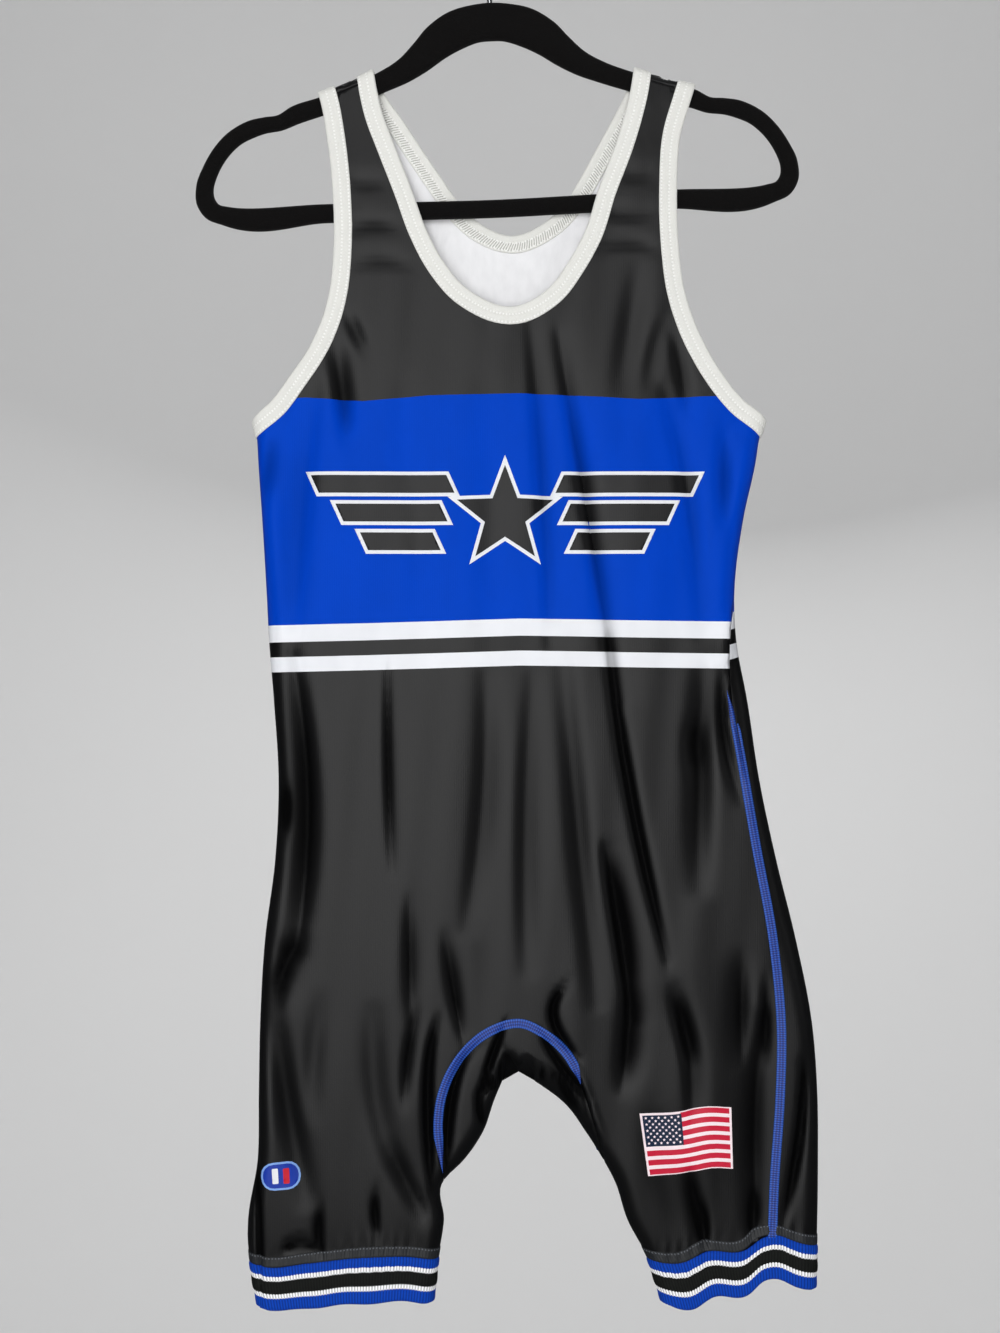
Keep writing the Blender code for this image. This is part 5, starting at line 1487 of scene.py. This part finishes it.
def times(tree, first, second):
    """The product of two colours, either of which may come from another node."""
    mixed = add(tree, "ShaderNodeMix", {}, data_type="RGBA", blend_type="MULTIPLY")
    mixed.inputs[0].default_value = 1.0
    for socket, value in zip((mixed.inputs[6], mixed.inputs[7]), (first, second)):
        if isinstance(value, str):
            socket.default_value = hex_colour(value)
        else:
            tree.links.new(value, socket)
    return mixed.outputs[2]


def paint_fold_shade(tree, shader, split, colour, shine):
    """Painted shade deep in a fold, where the light is caught between its walls: the colour and the specular tint are
    both darkened there, by the amount in the measure's third number.
    """
    deep = add(tree, "ShaderNodeMapRange", {"Value": split.outputs["Z"], "From Min": 0.6, "From Max": 4.8},
               interpolation_type="SMOOTHSTEP")
    for socket, tone, least in (("Specular Tint", shine, 0.08), ("Base Color", colour, 0.5)):
        kept = add(tree, "ShaderNodeMapRange", {"Value": deep.outputs["Result"], "To Min": 1.0, "To Max": least})
        tree.links.new(times(tree, tone, kept.outputs["Result"]), shader.inputs[socket])


def printed_knit(name, top):
    """Polyester and elastane warp knit with a print dyed into it: smooth, with a soft satin shine along its folds,
    which is blue on the blue band, and painted shade deep in the folds. `top` is the colour above that band."""
    material, tree, shader = blank_material(name)
    _, split = measure_of(tree)
    spread = add(tree, "ShaderNodeMapRange",
                 {"Value": split.outputs["Y"], "From Min": BLUE_TOP - 100, "From Max": STRIPES[-1] + 100})
    borders = [BLUE_TOP - 100, BLUE_TOP, *STRIPES]
    total = STRIPES[-1] - BLUE_TOP + 200
    positions = [(border - borders[0]) / total for border in borders]
    ramp = steps(tree, spread.outputs["Result"], positions, (top, BLUE, WHITE, BLACK, WHITE, BLACK))
    shine = steps(tree, spread.outputs["Result"], positions, (SHINE, BLUE_SHINE, SHINE, SHINE, SHINE, SHINE))
    fade = add(tree, "ShaderNodeTexNoise", {"Scale": 14.0, "Detail": 2.0})
    shade = add(tree, "ShaderNodeMapRange", {"Value": fade.outputs["Fac"], "To Min": 0.9, "To Max": 1.1})
    dyed = times(tree, ramp.outputs["Color"], shade.outputs["Result"])
    # Painted shade: colour and specular tint darkened deep in the folds
    paint_fold_shade(tree, shader, split, dyed, shine.outputs["Color"])
    shader.inputs["Specular IOR Level"].default_value = KNIT_GLOSS
    shader.inputs["Roughness"].default_value = KNIT_ROUGHNESS
    knit_bump(tree, shader)
    return material


def plain_knit(name, colour, roughness, level=0.5, sheen=0.1, bump=0.25):
    """The same knit in one dyed colour, its tone a little uneven, with painted shade deep in its folds."""
    material, tree, shader = blank_material(name)
    fade = add(tree, "ShaderNodeTexNoise", {"Scale": 60.0, "Detail": 3.0})
    ramp = add(tree, "ShaderNodeMapRange", {"Value": fade.outputs["Fac"], "To Min": 0.9, "To Max": 1.08})
    _, split = measure_of(tree)
    # Painted shade: colour and specular tint darkened deep in the folds
    paint_fold_shade(tree, shader, split, times(tree, colour, ramp.outputs["Result"]), SHINE)
    shader.inputs["Specular IOR Level"].default_value = level
    shader.inputs["Roughness"].default_value = roughness
    shader.inputs["Sheen Weight"].default_value = sheen
    knit_bump(tree, shader, bump)
    return material


def rows_of(tree, split, across_mm, half_width, pitch):
    """Round dots along a row of stitches: 1 in a dot's middle, 0 between dots."""
    near = add(tree, "ShaderNodeMath", {0: split.outputs["Y"], 1: across_mm}, operation="SUBTRACT")
    near = add(tree, "ShaderNodeMath", {0: near.outputs[0]}, operation="ABSOLUTE")
    band = add(tree, "ShaderNodeMapRange",
               {"Value": near.outputs[0], "From Min": half_width * 0.4, "From Max": half_width, "To Min": 1.0, "To Max": 0.0})
    turn = add(tree, "ShaderNodeMath", {0: split.outputs["X"], 1: 2 * math.pi / pitch}, operation="MULTIPLY")
    wave = add(tree, "ShaderNodeMath", {0: turn.outputs[0]}, operation="SINE")
    dot = add(tree, "ShaderNodeMapRange", {"Value": wave.outputs[0], "From Min": -0.3, "From Max": 0.6})
    return add(tree, "ShaderNodeMath", {0: band.outputs["Result"], 1: dot.outputs["Result"]}, operation="MULTIPLY")


def stitched_binding(name):
    """White cotton-rich knit binding: matt and a little fuzzy, with two rows of raised stitches outside, and loops
    laced between the rows inside. Its colour is painted lighter where the stitches and loops stand up and darker where
    they lie low, as light and shade on that relief."""
    material, tree, shader = blank_material(name)
    _, split = measure_of(tree)
    low = rows_of(tree, split, BINDING_WIDTH * 0.14, 0.9, STITCH_PITCH)
    high = rows_of(tree, split, BINDING_WIDTH * 0.62, 0.9, STITCH_PITCH)
    dots = add(tree, "ShaderNodeMath", {0: low.outputs[0], 1: high.outputs[0]}, operation="MAXIMUM")
    slant = add(tree, "ShaderNodeMath", {0: split.outputs["Y"], 1: 0.35, 2: split.outputs["X"]}, operation="MULTIPLY_ADD")
    turn = add(tree, "ShaderNodeMath", {0: slant.outputs[0], 1: 2 * math.pi / 1.9}, operation="MULTIPLY")
    lace = add(tree, "ShaderNodeMath", {0: turn.outputs[0]}, operation="SINE")
    middle = add(tree, "ShaderNodeMath", {0: split.outputs["Y"], 1: BINDING_WIDTH * 0.38}, operation="SUBTRACT")
    middle = add(tree, "ShaderNodeMath", {0: middle.outputs[0]}, operation="ABSOLUTE")
    between = add(tree, "ShaderNodeMapRange", {"Value": middle.outputs[0], "From Min": BINDING_WIDTH * 0.24,
                                               "From Max": BINDING_WIDTH * 0.28, "To Min": 1.0, "To Max": 0.0})
    laced = add(tree, "ShaderNodeMath", {0: lace.outputs[0], 1: between.outputs["Result"]}, operation="MULTIPLY")
    laced = add(tree, "ShaderNodeMath", {0: laced.outputs[0], 1: split.outputs["Z"]}, operation="MULTIPLY")
    raised = add(tree, "ShaderNodeMath", {0: laced.outputs[0], 1: 0.6, 2: dots.outputs[0]}, operation="MULTIPLY_ADD")
    # Painted light and shade: the colour follows the stitches' relief, lighter where it stands up; the fuzz adds a
    # random mottle
    tone = add(tree, "ShaderNodeMapRange", {"Value": raised.outputs[0], "From Min": -0.5, "From Max": 1.0})
    fuzz = add(tree, "ShaderNodeTexNoise", {"Scale": 1100.0, "Detail": 4.0})
    mottle_and_painted_relief_shade = add(tree, "ShaderNodeMath", {0: fuzz.outputs["Fac"], 1: 0.5, 2: tone.outputs["Result"]}, operation="MULTIPLY_ADD")
    colour = steps(tree, mottle_and_painted_relief_shade.outputs[0], (0.2, 0.62, 1.15), ("B4B4AE", BINDING_WHITE, "FFFFFC"), "LINEAR")
    tree.links.new(colour.outputs["Color"], shader.inputs["Base Color"])
    height = add(tree, "ShaderNodeMath", {0: raised.outputs[0], 1: 1.2, 2: fuzz.outputs["Fac"]}, operation="MULTIPLY_ADD")
    bump = add(tree, "ShaderNodeBump", {"Height": height.outputs[0], "Strength": 0.6, "Distance": 0.0005})
    tree.links.new(bump.outputs["Normal"], shader.inputs["Normal"])
    shader.inputs["Roughness"].default_value = 0.85
    shader.inputs["Specular IOR Level"].default_value = 0.3
    shader.inputs["Sheen Weight"].default_value = 0.2
    return material


def cover_stitched(name):
    """The same black knit where the cuff is joined on: a dashed row of grey stitches along its upper edge."""
    material, tree, shader = blank_material(name)
    _, split = measure_of(tree)
    dots = rows_of(tree, split, 0.16, 0.09, 2.4)
    colour = add(tree, "ShaderNodeMix", {}, data_type="RGBA")
    tree.links.new(dots.outputs[0], colour.inputs[0])
    colour.inputs[6].default_value = hex_colour("222427")
    colour.inputs[7].default_value = hex_colour("5C6066")
    tree.links.new(colour.outputs[2], shader.inputs["Base Color"])
    turn = add(tree, "ShaderNodeMath", {0: split.outputs["X"], 1: 2 * math.pi / 2.4}, operation="MULTIPLY")
    wave = add(tree, "ShaderNodeMath", {0: turn.outputs[0]}, operation="SINE")
    height = add(tree, "ShaderNodeMath", {0: wave.outputs[0], 1: 0.3, 2: dots.outputs[0]}, operation="MULTIPLY_ADD")
    bump = add(tree, "ShaderNodeBump", {"Height": height.outputs[0], "Strength": 0.6, "Distance": 0.0004})
    tree.links.new(bump.outputs["Normal"], shader.inputs["Normal"])
    shader.inputs["Roughness"].default_value = 0.5
    shader.inputs["Specular IOR Level"].default_value = 0.3
    return material


def flat_lock(name):
    """Textured nylon thread, laid as three columns of loops with rungs between them. Its colour follows the same relief
    as its bump: painted lighter on the loops, rungs and raised edges and darker in the hollows between them, as light
    and shade.
    """
    material, tree, shader = blank_material(name)
    _, split = measure_of(tree)
    turn = add(tree, "ShaderNodeMath", {0: split.outputs["X"], 1: 2 * math.pi / 1.7}, operation="MULTIPLY")
    rung = add(tree, "ShaderNodeMath", {0: turn.outputs[0]}, operation="SINE")
    columns = add(tree, "ShaderNodeMath", {0: split.outputs["Y"], 1: 2 * math.pi * 1.5}, operation="MULTIPLY")
    column = add(tree, "ShaderNodeMath", {0: columns.outputs[0]}, operation="COSINE")
    far = add(tree, "ShaderNodeMath", {0: split.outputs["Y"]}, operation="ABSOLUTE")
    rim = add(tree, "ShaderNodeMapRange", {"Value": far.outputs[0], "From Min": 0.62, "From Max": 0.95})
    loops = add(tree, "ShaderNodeMath", {0: rung.outputs[0], 1: 0.22, 2: 0.25}, operation="MULTIPLY_ADD")
    with_columns = add(tree, "ShaderNodeMath", {0: column.outputs[0], 1: 0.16, 2: loops.outputs[0]}, operation="MULTIPLY_ADD")
    # Painted light and shade: the relief of loops, rungs and raised edges also sets the colour, lighter where it stands
    # up
    light = add(tree, "ShaderNodeMath", {0: rim.outputs["Result"], 1: 0.42, 2: with_columns.outputs[0]}, operation="MULTIPLY_ADD")
    colour = steps(tree, light.outputs[0], (0.0, 0.35, 0.95), ("041C60", "0A3A9E", "3F78D6"), "LINEAR")
    tree.links.new(colour.outputs["Color"], shader.inputs["Base Color"])
    bump = add(tree, "ShaderNodeBump", {"Height": light.outputs[0], "Strength": 0.7, "Distance": 0.0005})
    tree.links.new(bump.outputs["Normal"], shader.inputs["Normal"])
    shader.inputs["Roughness"].default_value = 0.5
    return material


def rib_knit(name):
    """Polyester rib knit, ringed in blue, white and black: matt, with fine upright ribs that give each ring a toothed
    edge. Its colour is painted darker between the ribs' crests, as shade, and a little lighter on them, as a painted
    highlight."""
    material, tree, shader = blank_material(name)
    _, split = measure_of(tree)
    turn = add(tree, "ShaderNodeMath", {0: split.outputs["X"], 1: 2 * math.pi / RIB_PITCH}, operation="MULTIPLY")
    crest = add(tree, "ShaderNodeMath", {0: turn.outputs[0]}, operation="COSINE")
    toothed = add(tree, "ShaderNodeMath", {0: crest.outputs[0], 1: 0.011, 2: split.outputs["Y"]}, operation="MULTIPLY_ADD")
    ramp = steps(tree, toothed.outputs[0], (0.0, 0.21, 0.31, 0.60, 0.70),
                 (CUFF_BLUE, "F4F4F6", "161816", "F4F4F6", CUFF_BLUE))
    # Painted shade between the ribs' crests and a painted highlight on them
    painted_groove_shade = add(tree, "ShaderNodeMapRange",
                 {"Value": crest.outputs[0], "From Min": -1.0, "From Max": 0.6, "To Min": 0.55, "To Max": 1.08})
    shaded = add(tree, "ShaderNodeMix", {}, data_type="RGBA", blend_type="MULTIPLY")
    shaded.inputs[0].default_value = 1.0
    tree.links.new(ramp.outputs["Color"], shaded.inputs[6])
    tree.links.new(painted_groove_shade.outputs["Result"], shaded.inputs[7])
    tree.links.new(shaded.outputs[2], shader.inputs["Base Color"])
    place = add(tree, "ShaderNodeTexCoord")
    fuzz = add(tree, "ShaderNodeTexNoise", {"Vector": place.outputs["Object"], "Scale": 1500.0, "Detail": 4.0})
    bump = add(tree, "ShaderNodeBump", {"Height": fuzz.outputs["Fac"], "Strength": 0.5, "Distance": 0.0004})
    tree.links.new(bump.outputs["Normal"], shader.inputs["Normal"])
    shader.inputs["Roughness"].default_value = 0.8
    shader.inputs["Specular IOR Level"].default_value = 0.15
    return material


def flocked(name):
    """Polystyrene covered in short nylon flock: black, quite without shine, with a soft nap."""
    material, tree, shader = blank_material(name)
    place = add(tree, "ShaderNodeTexCoord")
    nap = add(tree, "ShaderNodeTexNoise", {"Vector": place.outputs["Object"], "Scale": 1200.0, "Detail": 5.0})
    colour = add(tree, "ShaderNodeMix", {}, data_type="RGBA")
    tree.links.new(nap.outputs["Fac"], colour.inputs[0])
    colour.inputs[6].default_value = hex_colour("030303")
    colour.inputs[7].default_value = hex_colour("0E0C0C")
    tree.links.new(colour.outputs[2], shader.inputs["Base Color"])
    bump = add(tree, "ShaderNodeBump", {"Height": nap.outputs["Fac"], "Strength": 0.8, "Distance": 0.0006})
    tree.links.new(bump.outputs["Normal"], shader.inputs["Normal"])
    shader.inputs["Roughness"].default_value = 1.0
    shader.inputs["Specular IOR Level"].default_value = 0.1
    shader.inputs["Sheen Weight"].default_value = 0.05
    shader.inputs["Sheen Roughness"].default_value = 0.6
    return material


def plated_wire(name):
    """Steel wire with bright zinc plating: a clean metal shine, faintly drawn along its length."""
    material, tree, shader = blank_material(name)
    place = add(tree, "ShaderNodeTexCoord")
    drawn = add(tree, "ShaderNodeTexNoise", {"Vector": place.outputs["Object"], "Scale": 700.0, "Detail": 2.0})
    rough = add(tree, "ShaderNodeMapRange", {"Value": drawn.outputs["Fac"], "To Min": 0.2, "To Max": 0.32})
    tree.links.new(rough.outputs["Result"], shader.inputs["Roughness"])
    shader.inputs["Base Color"].default_value = hex_colour("C4C5C8")
    shader.inputs["Metallic"].default_value = 1.0
    return material


KNIT_ROUGHNESS = 0.4
KNIT_GLOSS = 0.225
BLACK = "0C0C0D"
BLUE = "003CB8"
WHITE = "E6E8ED"
SHINE = "FFFFFF"
BLUE_SHINE = "508CFF"
BINDING_WHITE = "EFEFEA"
CUFF_BLUE = "0440B0"

materials = {
    "front_panel": printed_knit("printed_warp_knit_front", BLACK),
    "back_panel": printed_knit("printed_warp_knit_back", BLACK),
    "gusset": plain_knit("dyed_warp_knit_gusset", BLACK, KNIT_ROUGHNESS, KNIT_GLOSS, 0.0),
    "inside": plain_knit("unprinted_knit_face", "ECECEE", 0.7, 0.3, 0.2),
    "binding": stitched_binding("cotton_knit_binding"),
    "seam": flat_lock("nylon_flat_lock_thread"),
    "rib": rib_knit("ringed_rib_knit"),
    "flock": flocked("nylon_flocking"),
    "wire": plated_wire("zinc_plated_wire"),
    "hem": cover_stitched("cover_stitched_black_knit"),
}
inks = {name: plain_knit(name + "_dyed_print", colour, KNIT_ROUGHNESS, KNIT_GLOSS, 0.0) for name, colour in (
    ("white", WHITE), ("black", "0E0E10"), ("blue", "0C34A0"), ("light_blue", "7FA6E6"), ("red", "C4182E"),
    ("flag_white", "FBE9EE"), ("flag_red", "C81A3A"), ("flag_navy", "10233E"))}

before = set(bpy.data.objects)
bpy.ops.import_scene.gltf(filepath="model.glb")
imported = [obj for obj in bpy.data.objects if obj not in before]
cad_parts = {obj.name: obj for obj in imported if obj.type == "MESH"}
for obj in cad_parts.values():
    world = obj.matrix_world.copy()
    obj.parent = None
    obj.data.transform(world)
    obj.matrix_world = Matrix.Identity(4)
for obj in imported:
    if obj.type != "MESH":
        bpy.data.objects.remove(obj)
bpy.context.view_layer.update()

# The panels, each a closed sheet of knit with its white inside
panels = make_panels(materials, materials["inside"])

# Bindings and cuffs
for edge_name, node in (("neck", "neck_binding"), ("armhole_left", "armhole_binding_left"),
                        ("armhole_right", "armhole_binding_right")):
    make_binding(edge_name, node, materials["binding"])
cuffs = {side: make_cuff(side, materials["rib"]) for side in ("left", "right")}

# Flat-locked seams
seam_lines = {layer: {name: np.mean(pair, axis=0) for name, pair in PATTERN.seams[layer].items()}
              for layer in (FRONT, BACK)}


def stretch(path, first, last):
    """The part of a path between two lengths along it; a negative last counts from its end."""
    along = run_lengths(path)
    last = along[-1] + last if last <= 0 else last
    stops = np.linspace(first, last, max(3, int((last - first) / 5)))
    return np.column_stack([np.interp(stops, along, path[:, k]) for k in range(2)])


side_front = seam_lines[FRONT]["side"]
side_front = side_front[side_front[:, 1] < 975]
gusset_front = seam_lines[FRONT]["gusset"]
seams = [
    make_seam("side_seam_front", stretch(side_front, 66, 0), FRONT, materials["seam"], starts=30, one_side=1),
    make_seam("gusset_seam_front", stretch(gusset_front, 8, -62), FRONT, materials["seam"], starts=26, ends=14),
    make_seam("gusset_seam_back", stretch(seam_lines[BACK]["gusset"], 8, -8), BACK, materials["seam"]),
]
for name in ("left", "right"):
    line = seam_lines[BACK][name]
    line = line[line[:, 1] < (978 if name == "left" else 500)]
    seams.append(make_seam(f"side_seam_back_{name}", stretch(line, 13, 0), BACK, materials["seam"]))
for name in ("inseam_left", "inseam_right"):
    line = seam_lines[BACK][name]
    line = line[line[:, 1] < 983]
    seams.append(make_seam(f"{name}_back", stretch(line, 14, 0), BACK, materials["seam"]))

hem_bands = [make_hem_band(side, materials["hem"]) for side in ("left", "right")]
make_hanger(materials["flock"], materials["wire"])
make_chest_print(inks)
make_flag_print(inks)
make_leg_badge(inks)


def make_studio():
    """A pale floor that sweeps up all round, soft lights, and the camera at the viewer's place."""
    flat, sweep, height, turn = 1.2, 3.0, 7.4, 48
    profile = [(0, 0), (flat / 2, 0), (flat, 0)]
    profile += [(flat + sweep * math.sin(a), sweep * (1 - math.cos(a))) for a in np.linspace(0.1, math.pi / 2, 16)]
    profile.append((flat + sweep, height))
    rings = [[(r * math.cos(2 * math.pi * k / turn), r * math.sin(2 * math.pi * k / turn), z) for k in range(turn)]
             for r, z in profile[1:]]
    points = [(0, 0, 0)] + [p for ring in rings for p in ring]
    faces = [(0, 1 + k, 1 + (k + 1) % turn) for k in range(turn)]
    for i in range(len(rings) - 1):
        for k in range(turn):
            a, b = 1 + i * turn + k, 1 + i * turn + (k + 1) % turn
            faces.append((a, a + turn, b + turn, b))
    mesh = bpy.data.meshes.new("studio_floor")
    mesh.from_pydata(points, [], faces)
    mesh.shade_smooth()
    floor = bpy.data.objects.new("studio_floor", mesh)
    floor.location = (0, 0, -1.9)
    material, tree, shader = blank_material("painted_studio_floor")
    haze = add(tree, "ShaderNodeTexNoise", {"Scale": 3.0})
    tone = add(tree, "ShaderNodeMapRange", {"Value": haze.outputs["Fac"], "To Min": 0.64, "To Max": 0.68})
    tree.links.new(tone.outputs["Result"], shader.inputs["Base Color"])
    shader.inputs["Roughness"].default_value = 0.9
    mesh.materials.append(material)
    bpy.context.collection.objects.link(floor)
    floor.visible_glossy = False
    world = bpy.context.scene.world or bpy.data.worlds.new("studio_air")
    bpy.context.scene.world = world
    world.use_nodes = True
    background = world.node_tree.nodes["Background"]
    background.inputs["Color"].default_value = (0.92, 0.95, 1.0, 1)
    background.inputs["Strength"].default_value = 0.06
    bpy.context.scene.view_settings.view_transform = "Standard"
    middle = Vector((0.01, 0, -0.55))
    wall = Vector((0, 4.2, -0.2))
    for name, place, aim, width, height, power in (
            ("front_window", (-0.4, -2.5, -0.4), middle, 1.7, 2.5, 57),
            ("side_fill", (2.2, -1.5, -0.1), middle, 0.8, 1.4, 4),
            ("ceiling", (0.1, -0.5, 1.6), middle, 1.2, 1.2, 5),
            ("rear_window", (0.3, 3.0, 1.3), middle, 1.7, 2.0, 50),
            ("wall_wash", (0, 1.2, 2.0), wall, 2.0, 0.6, 42)):
        lamp = bpy.data.lights.new(name, "AREA")
        lamp.shape = "RECTANGLE"
        lamp.size, lamp.size_y = width, height
        lamp.energy = power
        thing = bpy.data.objects.new(name, lamp)
        thing.location = place
        thing.rotation_euler = (aim - Vector(place)).to_track_quat("-Z", "Y").to_euler()
        bpy.context.collection.objects.link(thing)
    camera = bpy.data.cameras.new("camera")
    camera.sensor_width = 36.0
    tangent = 0.3939
    camera.lens = camera.sensor_width / 2 / tangent
    view = bpy.data.objects.new("camera", camera)
    view.location = (0.0103, -0.4915 / tangent, -0.5535)
    view.rotation_euler = (math.pi / 2, 0, 0)
    bpy.context.collection.objects.link(view)
    bpy.context.scene.camera = view


make_studio()
